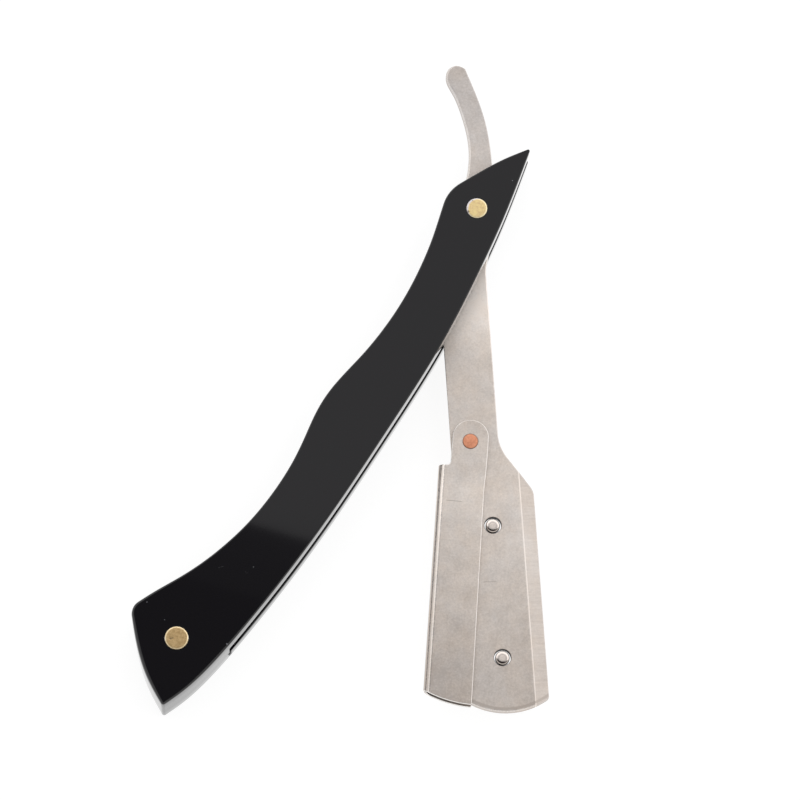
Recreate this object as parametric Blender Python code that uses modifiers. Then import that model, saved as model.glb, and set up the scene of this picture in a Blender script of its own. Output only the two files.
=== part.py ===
"""A straight razor that takes half of a double-edge blade, standing part-open on its rear face.

Metres, +Z up. The origin is on the axis of the pivot pin, in the flat rear face of the handle.
The handle runs along -Y to its butt, +X is the side on which the arm stands open, and +Z leaves
the front face. The steel arm turns on the pivot pin between the two plastic scales. The folded
steel cover that clamps the blade swings on a copper rivet in the arm.
"""
import math

import bmesh
import bpy
import numpy as np

# Arm: one steel plate with a curved tail, a shank and a wide blade seat
ARM_THICKNESS = 0.0017
ARM_OPEN_ANGLE = math.radians(37.3)
ARM_EDGE_ROUND = 0.0004
SHANK_WIDTH = 0.00987
SHANK_OFFSET = 0.0088
SHANK_LENGTH = 0.0508
SHANK_BLEND = 0.0150
SHOULDER_RUN = 0.0096
SEAT_WIDTH = 0.01659
SEAT_END_RADIUS = 0.0150
SHOULDER_FILLET = 0.0095
SHOULDER_CORNER = 0.0035
SEAT_CORNER = 0.0008
TAIL_LENGTH = 0.0336
TAIL_REACH = 0.0043
TAIL_CORNER = 0.0005
GRIND_WIDTH = 0.00285
GRIND_DEPTH = 0.0006
STUD_SPACING = 0.0280
STUD_BELOW_SHOULDER = 0.0070
STUD_ABOVE_END = 0.0112
STUD_FROM_EDGE = 0.00895
STUD_RADIUS = 0.0016
STUD_CLEARANCE = 0.00015
STUD_HEAD_GAP = 0.00005
STUD_RIM_DROP = 0.0003
RIVET_FROM_EDGE = 0.0042
RIVET_ABOVE_SHOULDER = 0.0014

# Outline of the tail and tang along TAIL_LENGTH; across, the left of the tang follows SHANK_OFFSET
TAIL_RIGHT_SHARES = (
    (-0.035, 0.974), (0.221, 0.875), (0.488, 0.765), (0.686, 0.664), (0.826, 0.560),
    (0.914, 0.432), (0.953, 0.268), (0.988, 0.089), (0.860, -0.089), (0.488, -0.250),
    (0.272, -0.357),
)
TANG_LEFT_SHARES = (
    (-0.972, -0.536), (-0.864, -0.313), (-0.682, -0.119), (-0.477, 0.048), (-0.261, 0.196),
)
TAIL_LEFT_SHARES = (
    (-0.233, 0.327), (-0.144, 0.446), (-0.221, 0.571), (-0.430, 0.699), (-0.721, 0.815),
    (-0.985, 0.895), (-1.000, 0.945), (-0.802, 0.987), (-0.488, 1.000),
)
TAIL_TIP_SHARES = ((-0.488, 1.000), (-0.267, 0.993), (-0.035, 0.974))

# Cover: thin steel folded over the back edge of the arm, with two round tabs on the rivet
COVER_SHEET = 0.00045
COVER_GAP = 0.00025
COVER_AJAR_ANGLE = math.radians(7.6)
SPINE_ROOM = 0.0017
COVER_WAIST = 0.0035
COVER_FOOT = 0.0038
COVER_END_INSET = 0.00193
COVER_END_RADIUS = 0.0240
COVER_END_CENTRE = 0.0042
COVER_CORNER = 0.0003
TAB_RADIUS = 0.00375
TAB_RISE = 0.0009
TAB_FOOT = 0.0052
TAB_FILLET = 0.0008
NECK_DROP = 0.0001
RIVET_RADIUS = 0.00155
RIVET_CLEARANCE = 0.0001

# Handle: two black scales with a wedge between them at the butt
SCALE_THICKNESS = 0.0038
SLOT_CLEARANCE = 0.00015
BELLY_REACH = 0.01126
FACE_CHAMFER = 0.0003
SHOULDER_RADIUS = 0.0082
NOSE_RADIUS = 0.00035
HEEL_RADIUS = 0.0030
TOE_RADIUS = 0.0006
PIVOT_PIN_RADIUS = 0.00219
WEDGE_PIN_RADIUS = 0.00239
PIN_CLEARANCE = 0.0001
WEDGE_SIDE_GAP = 0.0001
WEDGE_REACH_GAP = 0.0003
WEDGE_LAND = 0.0044
WEDGE_FRONT_TILT = math.radians(5.6)

# Washers that keep the thin arm in the middle of the slot
WASHER_RIM = 0.0018
WASHER_PLAY = 0.00015

# Places that follow from the sizes above
SHANK_RIGHT = SHANK_WIDTH - SHANK_OFFSET
SEAT_RIGHT = SEAT_WIDTH - SHANK_OFFSET
SEAT_TOP = SHANK_LENGTH + SHOULDER_RUN
STUD_OFFSET = STUD_FROM_EDGE - SEAT_RIGHT
STUD_PLACES = (SEAT_TOP + STUD_BELOW_SHOULDER, SEAT_TOP + STUD_BELOW_SHOULDER + STUD_SPACING)
SEAT_LENGTH = STUD_PLACES[1] + STUD_ABOVE_END
RIVET_OFFSET = SHANK_OFFSET - RIVET_FROM_EDGE
RIVET_PLACE = SHANK_LENGTH - RIVET_ABOVE_SHOULDER
COVER_SPINE = RIVET_FROM_EDGE + SPINE_ROOM
COVER_LENGTH = SEAT_LENGTH - RIVET_PLACE - COVER_END_INSET
COVER_THICKNESS = ARM_THICKNESS + 2 * (COVER_GAP + COVER_SHEET)
SLOT_GAP = COVER_THICKNESS + 2 * SLOT_CLEARANCE
HANDLE_THICKNESS = SLOT_GAP + 2 * SCALE_THICKNESS
WEDGE_FRONT = SEAT_LENGTH + WEDGE_REACH_GAP
PIN_SPACING = WEDGE_FRONT + WEDGE_LAND
MIDDLE = HANDLE_THICKNESS / 2
SLOT_LOW = MIDDLE - SLOT_GAP / 2
SLOT_HIGH = MIDDLE + SLOT_GAP / 2
ARM_LOW = MIDDLE - ARM_THICKNESS / 2
ARM_HIGH = MIDDLE + ARM_THICKNESS / 2
COVER_LOW = MIDDLE - COVER_THICKNESS / 2
COVER_HIGH = MIDDLE + COVER_THICKNESS / 2
WASHER_THICKNESS = SLOT_HIGH - ARM_HIGH - 2 * WASHER_PLAY
WASHER_RADIUS = PIVOT_PIN_RADIUS + WASHER_RIM

# Outline of a scale: shares of BELLY_REACH across and of PIN_SPACING along
SLOPE_SHARES = ((0.174, 0.1535), (-0.080, 0.117), (-0.351, 0.064), (-0.644, -0.001))
BACK_SHARES = (
    (-0.644, -0.001), (-0.502, -0.05), (-0.361, -0.10), (-0.256, -0.15), (-0.185, -0.20),
    (-0.150, -0.25), (-0.151, -0.30), (-0.197, -0.36), (-0.279, -0.42), (-0.309, -0.46),
    (-0.286, -0.50), (-0.198, -0.55), (-0.120, -0.60), (-0.089, -0.65), (-0.099, -0.70),
    (-0.151, -0.75), (-0.250, -0.80), (-0.392, -0.85), (-0.589, -0.90), (-0.823, -0.95),
    (-1.021, -0.998),
)
BUTT_SHARES = ((-1.021, -0.998), (-0.595, -1.0435), (-0.049, -1.0885), (0.488, -1.1175))
BELLY_SHARES = (
    (0.488, -1.1175), (0.636, -1.074), (0.768, -1.0), (0.882, -0.9), (0.977, -0.75), (1.0, -0.6),
    (0.971, -0.45), (0.921, -0.3), (0.830, -0.2), (0.686, -0.1), (0.517, 0.0), (0.361, 0.075),
    (0.174, 0.1535),
)

# Steps and allowances of the modelling
CURVE_STEPS = 4
FILLET_STEPS = 5
ARC_STEPS = 14
TAB_STEPS = 16
ROUND_SIDES = 48
DOME_STEPS = 5
BEND_STEPS = 10
RIM_STEPS = 2
CUT_OVERRUN = 0.002
WELD_DISTANCE = 0.00001
FLAT_LIMIT = 0.9999
SMOOTH_ANGLE = math.radians(30.0)

# Material: colour, roughness, metallic
FINISHES = {
    "black_plastic": ((0.016, 0.015, 0.017), 0.22, 0.0),
    "brass": ((0.62, 0.45, 0.20), 0.35, 1.0),
    "satin_steel": ((0.60, 0.56, 0.53), 0.42, 1.0),
    "polished_steel": ((0.72, 0.70, 0.68), 0.16, 1.0),
    "copper": ((0.76, 0.36, 0.22), 0.35, 1.0),
}


def scaled(shares, across, along):
    """Points of an outline from their shares of two named sizes."""
    return np.array(shares) * (across, along)


def smooth_run(points):
    """Natural cubic curve through the points, read at equal steps between each pair."""
    knots = np.array(points, dtype=float)
    if len(knots) == 2:
        return knots
    chords = np.linalg.norm(np.diff(knots, axis=0), axis=1)
    slopes = np.diff(knots, axis=0) / chords[:, None]
    system = np.eye(len(knots))
    turns = np.zeros_like(knots)
    for i in range(1, len(knots) - 1):
        system[i, i - 1:i + 2] = (chords[i - 1], 2 * (chords[i - 1] + chords[i]), chords[i])
        turns[i] = 6 * (slopes[i] - slopes[i - 1])
    bends = np.linalg.solve(system, turns)
    pieces = []
    for i, chord in enumerate(chords):
        ahead = np.linspace(0, chord, CURVE_STEPS, endpoint=False)[:, None]
        behind = chord - ahead
        pieces.append(
            (bends[i] * behind ** 3 + bends[i + 1] * ahead ** 3) / (6 * chord)
            + (knots[i] / chord - bends[i] * chord / 6) * behind
            + (knots[i + 1] / chord - bends[i + 1] * chord / 6) * ahead
        )
    return np.vstack(pieces + [knots[-1:]])


def arc(centre, radius, start, end, steps):
    """Points of a circular arc between two angles."""
    angles = np.linspace(start, end, steps + 1)
    return np.column_stack((centre[0] + radius * np.cos(angles), centre[1] + radius * np.sin(angles)))


def trimmed(run, length):
    """The run without its first stretch of the given length."""
    along = np.concatenate(([0], np.cumsum(np.linalg.norm(np.diff(run, axis=0), axis=1))))
    start = [np.interp(length, along, run[:, axis]) for axis in (0, 1)]
    return np.vstack([start, run[along > length + WELD_DISTANCE]])


def unit(vector):
    """The vector at length one."""
    return vector / np.linalg.norm(vector)


def rounded_loop(runs, radii):
    """Closed outline from runs that meet end to end; radii[i] rounds the end of run i."""
    runs = [np.array(run) for run in runs]
    corners = [run[-1].copy() for run in runs]
    turns = []
    for i, run in enumerate(runs):
        following = runs[(i + 1) % len(runs)]
        inward = unit(run[-1] - run[-2])
        outward = unit(following[1] - following[0])
        turns.append(math.acos(max(-1, min(1, inward @ outward))))
    for i, radius in enumerate(radii):
        after = (i + 1) % len(runs)
        cut = radius * math.tan(turns[i] / 2)
        if radius:
            runs[i] = trimmed(runs[i][::-1], cut)[::-1]
            runs[after] = trimmed(runs[after], cut)
    loop = []
    for i, radius in enumerate(radii):
        start = runs[i][-1]
        end = runs[(i + 1) % len(runs)][0]
        if not radius:
            loop.append(runs[i][:-1])
            continue
        pull = 4 / 3 * math.tan(turns[i] / 4) * radius
        first = start + unit(corners[i] - start) * pull
        second = end + unit(corners[i] - end) * pull
        t = np.linspace(0, 1, FILLET_STEPS + 1)[1:-1, None]
        fillet = (1 - t) ** 3 * start + 3 * (1 - t) ** 2 * t * first + 3 * (1 - t) * t ** 2 * second
        loop += [runs[i], fillet + t ** 3 * end]
    return np.vstack(loop)


def handle_outline():
    """Outline of a scale: slope to the shoulder, waisted back, butt and full belly."""
    groups = (SLOPE_SHARES, BACK_SHARES, BUTT_SHARES, BELLY_SHARES)
    runs = [smooth_run(scaled(shares, BELLY_REACH, PIN_SPACING)) for shares in groups]
    return rounded_loop(runs, (SHOULDER_RADIUS, HEEL_RADIUS, TOE_RADIUS, NOSE_RADIUS))


def seat_end():
    """Round lower end of the blade seat, from its right corner to its left corner."""
    middle = (SEAT_RIGHT - SHANK_OFFSET) / 2
    centre = (middle, SEAT_END_RADIUS - SEAT_LENGTH)
    angles = [
        -math.acos((side - middle) / SEAT_END_RADIUS) for side in (SEAT_RIGHT, -SHANK_OFFSET)
    ]
    return arc(centre, SEAT_END_RADIUS, angles[0], angles[1], ARC_STEPS)


def arm_outline():
    """Outline of the arm about the pivot, with the arm along -Y."""
    right = smooth_run(
        np.vstack([scaled(TAIL_RIGHT_SHARES, TAIL_REACH, TAIL_LENGTH), (SHANK_RIGHT, -SHANK_BLEND)])
    )
    left = smooth_run(
        np.vstack([
            (-SHANK_OFFSET, -SHANK_BLEND * 2),
            scaled(TANG_LEFT_SHARES, SHANK_OFFSET, TAIL_LENGTH),
            scaled(TAIL_LEFT_SHARES, TAIL_REACH, TAIL_LENGTH),
        ])
    )
    tip = smooth_run(scaled(TAIL_TIP_SHARES, TAIL_REACH, TAIL_LENGTH))
    lower = seat_end()
    shoulder = [(SHANK_RIGHT, -SHANK_LENGTH), (SEAT_RIGHT, -SEAT_TOP)]
    runs = [
        right,
        np.array([right[-1], shoulder[0]]),
        np.array(shoulder),
        np.array([shoulder[1], lower[0]]),
        lower,
        np.array([lower[-1], left[0]]),
        left,
        tip,
    ]
    radii = (0, SHOULDER_FILLET, SHOULDER_CORNER, SEAT_CORNER, SEAT_CORNER, 0, 0, TAIL_CORNER)
    return rounded_loop(runs, radii)


def cover_outline():
    """Outline of the cover about the rivet; its left side overruns the folded spine."""
    spine = -COVER_SPINE - CUT_OVERRUN
    centre = (COVER_END_CENTRE, COVER_END_RADIUS - COVER_LENGTH)
    angles = [
        -math.acos((side - COVER_END_CENTRE) / COVER_END_RADIUS)
        for side in (COVER_FOOT, spine)
    ]
    lower = arc(centre, COVER_END_RADIUS, angles[0], angles[1], ARC_STEPS)
    tab = arc((0, TAB_RISE), TAB_RADIUS, math.pi, 0, TAB_STEPS)
    neck = np.array([-TAB_RADIUS, -TAB_FOOT])
    shoulder = np.array([spine, -TAB_FOOT - NECK_DROP])
    waist = smooth_run([tab[-1], (TAB_RADIUS, -TAB_FOOT / 2), (COVER_WAIST, -TAB_FOOT * 2)])
    runs = [
        np.array([lower[-1], shoulder]),
        np.array([shoulder, neck]),
        np.array([neck, tab[0]]),
        tab,
        waist,
        np.array([waist[-1], lower[0]]),
        lower,
    ]
    return rounded_loop(runs, (0, TAB_FILLET, 0, 0, 0, COVER_CORNER, 0))


def add_object(name, mesh, parent, collection):
    """An object for a finished mesh, hung on the given axis."""
    mesh.name = name
    obj = bpy.data.objects.new(name, mesh)
    obj.parent = parent
    collection.objects.link(obj)
    return obj


def flat_solid(name, outline, low, high, parent, collection):
    """A plate: the filled outline as a curve, extruded between two heights, then made a mesh."""
    curve = bpy.data.curves.new(name, "CURVE")
    curve.dimensions = "2D"
    curve.fill_mode = "BOTH"
    curve.extrude = (high - low) / 2
    spline = curve.splines.new("POLY")
    spline.points.add(len(outline) - 1)
    flat = np.zeros((len(outline), 4))
    flat[:, :2] = outline
    flat[:, 3] = 1
    spline.points.foreach_set("co", flat.ravel())
    spline.use_cyclic_u = True
    drawn = bpy.data.objects.new(name + "_outline", curve)
    drawn.location.z = (low + high) / 2
    collection.objects.link(drawn)
    bpy.context.view_layer.update()
    graph = bpy.context.evaluated_depsgraph_get()
    mesh = bpy.data.meshes.new_from_object(drawn.evaluated_get(graph))
    mesh.transform(drawn.matrix_world)
    bpy.data.objects.remove(drawn)
    bpy.data.curves.remove(curve)
    work = bmesh.new()
    work.from_mesh(mesh)
    bmesh.ops.remove_doubles(work, verts=work.verts, dist=WELD_DISTANCE)
    bmesh.ops.recalc_face_normals(work, faces=work.faces)
    work.normal_update()
    inner = [
        edge for edge in work.edges
        if len(edge.link_faces) == 2 and all(abs(f.normal.z) > FLAT_LIMIT for f in edge.link_faces)
    ]
    bmesh.ops.dissolve_edges(work, edges=inner, use_verts=False)
    work.to_mesh(mesh)
    work.free()
    return add_object(name, mesh, parent, collection)


def round_bar(name, radius, low, high, place, parent, collection):
    """An upright cylinder between two heights."""
    work = bmesh.new()
    bmesh.ops.create_cone(
        work, cap_ends=True, segments=ROUND_SIDES, radius1=radius, radius2=radius, depth=high - low
    )
    bmesh.ops.translate(work, verts=work.verts, vec=(0, 0, (low + high) / 2))
    mesh = bpy.data.meshes.new(name)
    work.to_mesh(mesh)
    work.free()
    bar = add_object(name, mesh, parent, collection)
    bar.location = (place[0], place[1], 0)
    return bar


def as_cutter(obj):
    """Marks an object as a cutter, left out of the part."""
    obj.hide_render = True
    obj.display_type = "WIRE"
    return obj


def cut(obj, cutter, operation="DIFFERENCE"):
    """Cuts an object, or keeps what it shares with the cutter."""
    modifier = obj.modifiers.new(cutter.name, "BOOLEAN")
    modifier.operation = operation
    modifier.solver = "EXACT"
    modifier.object = cutter


def drill(obj, name, radius, place, parent, cutters):
    """A round hole right through the handle's thickness."""
    cutter = round_bar(
        name, radius, -CUT_OVERRUN, HANDLE_THICKNESS + CUT_OVERRUN, place, parent, cutters
    )
    cut(obj, as_cutter(cutter))


def soften(obj, width, heights):
    """Bevels the rims of a plate that lie at the given heights."""
    mesh = obj.data
    weights = mesh.attributes.new("bevel_weight_edge", "FLOAT", "EDGE")
    for edge in mesh.edges:
        levels = [mesh.vertices[corner].co.z for corner in edge.vertices]
        off = min(max(abs(level - height) for level in levels) for height in heights)
        weights.data[edge.index].value = float(off < WELD_DISTANCE)
    bevel = obj.modifiers.new("rim", "BEVEL")
    bevel.width = width
    bevel.segments = RIM_STEPS
    bevel.limit_method = "WEIGHT"


def axis_empty(name, place, turn, parent, collection):
    """An empty on a joint's axis, which carries the pieces that turn there."""
    empty = bpy.data.objects.new(name, None)
    empty.parent = parent
    empty.location = (place[0], place[1], 0)
    empty.rotation_euler.z = turn
    collection.objects.link(empty)
    return empty


def finish(obj, material):
    """Gives a piece its material and smooth shading between its sharp edges."""
    obj.data.materials.append(material)
    obj.data.shade_smooth()
    obj.data.set_sharp_from_angle(angle=SMOOTH_ANGLE)


def make_materials():
    """One Principled material for each finish."""
    materials = {}
    for name, (colour, roughness, metallic) in FINISHES.items():
        material = bpy.data.materials.new(name)
        material.use_nodes = True
        shader = material.node_tree.nodes["Principled BSDF"]
        shader.inputs["Base Color"].default_value = (*colour, 1)
        shader.inputs["Roughness"].default_value = roughness
        shader.inputs["Metallic"].default_value = metallic
        materials[name] = material
    return materials


def build_scales(parts, cutters, materials):
    """The rear and front scales, each drilled for both pins."""
    outline = handle_outline()
    levels = {
        "rear_scale": (0, SLOT_LOW, 0),
        "front_scale": (SLOT_HIGH, HANDLE_THICKNESS, HANDLE_THICKNESS),
    }
    for name, (low, high, face) in levels.items():
        scale = flat_solid(name, outline, low, high, None, parts)
        soften(scale, FACE_CHAMFER, (face,))
        radius = PIVOT_PIN_RADIUS + PIN_CLEARANCE
        drill(scale, name + "_pivot_hole", radius, (0, 0), None, cutters)
        radius = WEDGE_PIN_RADIUS + PIN_CLEARANCE
        drill(scale, name + "_wedge_hole", radius, (0, -PIN_SPACING), None, cutters)
        finish(scale, materials["black_plastic"])


def build_wedge(parts, cutters, materials):
    """The spacer that fills the slot behind the end of the arm's sweep."""
    low = SLOT_LOW + WEDGE_SIDE_GAP
    high = SLOT_HIGH - WEDGE_SIDE_GAP
    wedge = flat_solid("wedge_spacer", handle_outline(), low, high, None, parts)
    work = bmesh.new()
    bmesh.ops.create_cube(work, size=1)
    sides = (WEDGE_FRONT * 2, WEDGE_FRONT * 2, HANDLE_THICKNESS * 2)
    bmesh.ops.scale(work, verts=work.verts, vec=sides)
    mesh = bpy.data.meshes.new("slot_space")
    work.to_mesh(mesh)
    work.free()
    space = add_object("slot_space", mesh, None, cutters)
    space.location.z = MIDDLE
    space.rotation_euler.z = WEDGE_FRONT_TILT
    cut(wedge, as_cutter(space))
    radius = WEDGE_PIN_RADIUS + PIN_CLEARANCE
    drill(wedge, "wedge_hole", radius, (0, -PIN_SPACING), None, cutters)
    finish(wedge, materials["black_plastic"])


def build_pins(parts, materials):
    """Two brass pins, peened and filed flush with both faces of the handle."""
    pins = {"pivot_pin": (PIVOT_PIN_RADIUS, 0), "wedge_pin": (WEDGE_PIN_RADIUS, -PIN_SPACING)}
    for name, (radius, place) in pins.items():
        pin = round_bar(name, radius, 0, HANDLE_THICKNESS, (0, place), None, parts)
        finish(pin, materials["brass"])


def build_washers(parts, cutters, materials):
    """A washer on each side of the arm, midway in the gap to the scale."""
    lows = {"rear_pivot_washer": SLOT_LOW + WASHER_PLAY, "front_pivot_washer": ARM_HIGH + WASHER_PLAY}
    for name, low in lows.items():
        washer = round_bar(name, WASHER_RADIUS, low, low + WASHER_THICKNESS, (0, 0), None, parts)
        radius = PIVOT_PIN_RADIUS + PIN_CLEARANCE
        drill(washer, name + "_hole", radius, (0, 0), None, cutters)
        finish(washer, materials["brass"])


def grind_cutter(axis, cutters):
    """A tilted block whose underside leaves the ground flat along the seat's right edge."""
    work = bmesh.new()
    bmesh.ops.create_cube(work, size=1)
    reach = GRIND_WIDTH + CUT_OVERRUN
    bmesh.ops.scale(work, verts=work.verts, vec=(reach, SEAT_LENGTH, CUT_OVERRUN))
    bmesh.ops.translate(work, verts=work.verts, vec=(reach / 2, 0, CUT_OVERRUN / 2))
    mesh = bpy.data.meshes.new("grind_block")
    work.to_mesh(mesh)
    work.free()
    block = add_object("grind_block", mesh, axis, cutters)
    block.location = (SEAT_RIGHT - GRIND_WIDTH, -SEAT_LENGTH, ARM_HIGH)
    block.rotation_euler.y = math.atan2(GRIND_DEPTH, GRIND_WIDTH)
    return as_cutter(block)


def build_arm(axis, parts, cutters, materials):
    """The steel arm, drilled for the pivot, the cover's rivet and the two blade studs."""
    arm = flat_solid("blade_arm", arm_outline(), ARM_LOW, ARM_HIGH, axis, parts)
    soften(arm, ARM_EDGE_ROUND, (ARM_LOW, ARM_HIGH))
    cut(arm, grind_cutter(axis, cutters))
    drill(arm, "arm_pivot_hole", PIVOT_PIN_RADIUS + PIN_CLEARANCE, (0, 0), axis, cutters)
    place = (-RIVET_OFFSET, -RIVET_PLACE)
    drill(arm, "arm_rivet_hole", RIVET_RADIUS + RIVET_CLEARANCE, place, axis, cutters)
    for number, along in enumerate(STUD_PLACES):
        name = f"arm_stud_hole_{number}"
        drill(arm, name, STUD_RADIUS + STUD_CLEARANCE, (-STUD_OFFSET, -along), axis, cutters)
    finish(arm, materials["satin_steel"])


def build_studs(axis, parts, materials):
    """Two domed studs that fit the holes of the half blade, turned from one profile."""
    rim = ARM_HIGH - STUD_RIM_DROP
    rise = ARM_HIGH + COVER_GAP - STUD_HEAD_GAP - rim
    angles = np.linspace(0, math.pi / 2, DOME_STEPS + 1)
    profile = [(STUD_RADIUS * math.sin(a), rim + rise * math.cos(a)) for a in angles]
    profile += [(STUD_RADIUS, ARM_LOW), (0, ARM_LOW)]
    for name, along in zip(("upper_blade_stud", "lower_blade_stud"), STUD_PLACES):
        mesh = bpy.data.meshes.new(name)
        points = [(x, 0, z) for x, z in profile]
        mesh.from_pydata(points, [(i, i + 1) for i in range(len(points) - 1)], [])
        stud = add_object(name, mesh, axis, parts)
        stud.location = (-STUD_OFFSET, -along, 0)
        turn = stud.modifiers.new("turn", "SCREW")
        turn.steps = ROUND_SIDES
        turn.render_steps = ROUND_SIDES
        turn.use_merge_vertices = True
        turn.merge_threshold = WELD_DISTANCE
        finish(stud, materials["polished_steel"])


def build_cover(axis, parts, cutters, materials):
    """The folded cover: a bent sheet, thickened inwards, kept within its outline."""
    sheet_radius = COVER_THICKNESS / 2
    centre = (sheet_radius - COVER_SPINE, MIDDLE)
    bend = arc(centre, sheet_radius, math.pi / 2, math.pi * 3 / 2, BEND_STEPS)
    right = max(COVER_WAIST, COVER_FOOT, TAB_RADIUS) + CUT_OVERRUN
    section = [(right, COVER_HIGH), *bend, (right, COVER_LOW)]
    top = TAB_RISE + TAB_RADIUS + CUT_OVERRUN
    bottom = -COVER_LENGTH - CUT_OVERRUN
    points = [(x, y, z) for y in (top, bottom) for x, z in section]
    count = len(section)
    faces = [(i, i + 1, count + i + 1, count + i) for i in range(count - 1)]
    mesh = bpy.data.meshes.new("swing_cover")
    mesh.from_pydata(points, [], faces)
    cover = add_object("swing_cover", mesh, axis, parts)
    wall = cover.modifiers.new("sheet", "SOLIDIFY")
    wall.thickness = COVER_SHEET
    wall.offset = -1
    wall.use_even_offset = True
    outline = flat_solid(
        "cover_blank", cover_outline(), -CUT_OVERRUN, HANDLE_THICKNESS + CUT_OVERRUN, axis, cutters
    )
    cut(cover, as_cutter(outline), "INTERSECT")
    drill(cover, "cover_rivet_hole", RIVET_RADIUS + RIVET_CLEARANCE, (0, 0), axis, cutters)
    finish(cover, materials["satin_steel"])
    rivet = round_bar("cover_rivet", RIVET_RADIUS, COVER_LOW, COVER_HIGH, (0, 0), axis, parts)
    finish(rivet, materials["copper"])


def new_collection(name):
    """A collection under the scene's own."""
    collection = bpy.data.collections.new(name)
    bpy.context.scene.collection.children.link(collection)
    return collection


def main():
    """Builds the handle, the arm on the pivot pin and the cover on its rivet."""
    for obj in list(bpy.data.objects):
        bpy.data.objects.remove(obj)
    parts = new_collection("replaceable_blade_straight_razor")
    cutters = new_collection("cutters")
    materials = make_materials()
    build_scales(parts, cutters, materials)
    build_wedge(parts, cutters, materials)
    build_pins(parts, materials)
    build_washers(parts, cutters, materials)
    arm_axis = axis_empty("arm_axis", (0, 0), ARM_OPEN_ANGLE, None, parts)
    build_arm(arm_axis, parts, cutters, materials)
    build_studs(arm_axis, parts, materials)
    rivet_place = (-RIVET_OFFSET, -RIVET_PLACE)
    cover_axis = axis_empty("cover_axis", rivet_place, -COVER_AJAR_ANGLE, arm_axis, parts)
    build_cover(cover_axis, parts, cutters, materials)


main()
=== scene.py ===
"""Looks of a straight razor that takes half of a double-edge blade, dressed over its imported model.

Metres, +Z up. The origin is on the axis of the pivot pin, in the flat rear face of the handle. The
handle runs along -Y to its butt, and the steel arm stands open on the +X side. Every piece is a surface
worked out on whole arrays: a plate is its outline carried round a rim profile and closed by flat caps, a
turned piece is a profile carried round an axis, and the cover is a flat blank rolled round its spine.
"""
import logging
import math
from collections.abc import Callable
from dataclasses import dataclass
from enum import Enum

import bmesh
import bpy
import numpy as np
from mathutils import Matrix, Vector
from mathutils.geometry import delaunay_2d_cdt


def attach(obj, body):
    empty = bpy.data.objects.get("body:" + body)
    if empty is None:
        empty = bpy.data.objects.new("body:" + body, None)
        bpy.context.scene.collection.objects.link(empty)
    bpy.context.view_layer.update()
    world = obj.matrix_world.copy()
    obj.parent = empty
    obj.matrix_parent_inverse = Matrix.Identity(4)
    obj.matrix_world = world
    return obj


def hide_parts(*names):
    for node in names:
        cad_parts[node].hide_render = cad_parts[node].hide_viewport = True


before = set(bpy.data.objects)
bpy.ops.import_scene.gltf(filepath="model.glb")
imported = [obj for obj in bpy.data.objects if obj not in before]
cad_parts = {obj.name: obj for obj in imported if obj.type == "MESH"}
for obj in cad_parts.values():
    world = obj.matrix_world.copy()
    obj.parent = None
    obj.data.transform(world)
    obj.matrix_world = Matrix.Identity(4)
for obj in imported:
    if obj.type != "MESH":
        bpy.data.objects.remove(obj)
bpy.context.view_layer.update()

LOG = logging.getLogger("razor")

MM = 0.001
# Points that lie closer together than this are one point
WELD = 0.0000004
# How far inside its rim a face has one more ring, which keeps the shading of the rim off the face
SUPPORT = 0.00004
SHARP_ANGLE = math.radians(28.0)
# How far past the length of the seat the wedge begins
WEDGE_ROOM = 0.0003
# How long the two ends of a stroke taper, in widths
BLUNT_TAPER = 3.0
FINE_TAPER = 5.0
CURVE_STEPS = 8
FILLET_STEPS = 10
ARC_STEPS = 40
RIM_STEPS = 6
BEND_STEPS = 28
STUD_STEPS = 20
HOLE_SIDES = 72
PIN_SIDES = 96
RIVET_SIDES = 84

Flat = tuple[float, float]
Triple = tuple[float, float, float]
Shares = tuple[Flat, ...]
Colour = tuple[float, float, float]
# A straight mark: its two ends and its width
Stroke = tuple[Flat, Flat, float]
# A round mark: its centre, its width, and its strength or depth
Spot = tuple[Flat, float, float]
# A change of tone along a piece, painted light and shade where it runs along the whole arm or cover:
# where it starts, where it is complete, and how much it adds
Fade = tuple[float, float, float]
# Pairs of points of an outline, by number
Pairs = tuple[tuple[int, int], ...]


class Body(Enum):
    """The three bodies that move on their own."""

    HANDLE = "handle"
    ARM = "arm"
    COVER = "cover"


class Side(Enum):
    """The two faces of a piece: which way the face points along Z."""

    FRONT = 1
    REAR = -1


# Outlines and other plane geometry

def scaled(shares: Shares, across: float, along: float) -> np.ndarray:
    """Points of an outline from their shares of two sizes."""
    return np.array(shares) * (across, along)


def unit(vector: np.ndarray) -> np.ndarray:
    """The vector at length one."""
    return vector / np.linalg.norm(vector)


def smooth_run(points: np.ndarray) -> np.ndarray:
    """Natural cubic curve through points.

    Each stretch is the cubic whose second derivative runs straight between the bends at its two ends; the
    bends solve the tridiagonal system that makes the slopes meet, with the chord as parameter.

    Args:
        points: The points that the curve passes through, as rows.

    Returns:
        Points of the curve, at equal steps between each pair.
    """
    knots = np.array(points, dtype=float)
    if len(knots) == 2:
        return knots
    chords = np.linalg.norm(np.diff(knots, axis=0), axis=1)
    slopes = np.diff(knots, axis=0) / chords[:, None]
    inner = 2 * (chords[:-1] + chords[1:])
    system = np.diag(np.concatenate(([1], inner, [1])))
    system += np.diag(np.append(chords[:-1], 0), -1) + np.diag(np.insert(chords[1:], 0, 0), 1)
    turns = np.zeros_like(knots)
    turns[1:-1] = 6 * np.diff(slopes, axis=0)
    bends = np.linalg.solve(system, turns)
    chord = chords[:, None, None]
    ahead = np.linspace(0, 1, CURVE_STEPS, endpoint=False)[None, :, None] * chord
    behind = chord - ahead
    start, end = bends[:-1, None], bends[1:, None]
    curve = (start * behind ** 3 + end * ahead ** 3) / (6 * chord)
    curve += (knots[:-1, None] / chord - start * chord / 6) * behind
    curve += (knots[1:, None] / chord - end * chord / 6) * ahead
    return np.vstack((curve.reshape(-1, 2), knots[-1:]))


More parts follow.
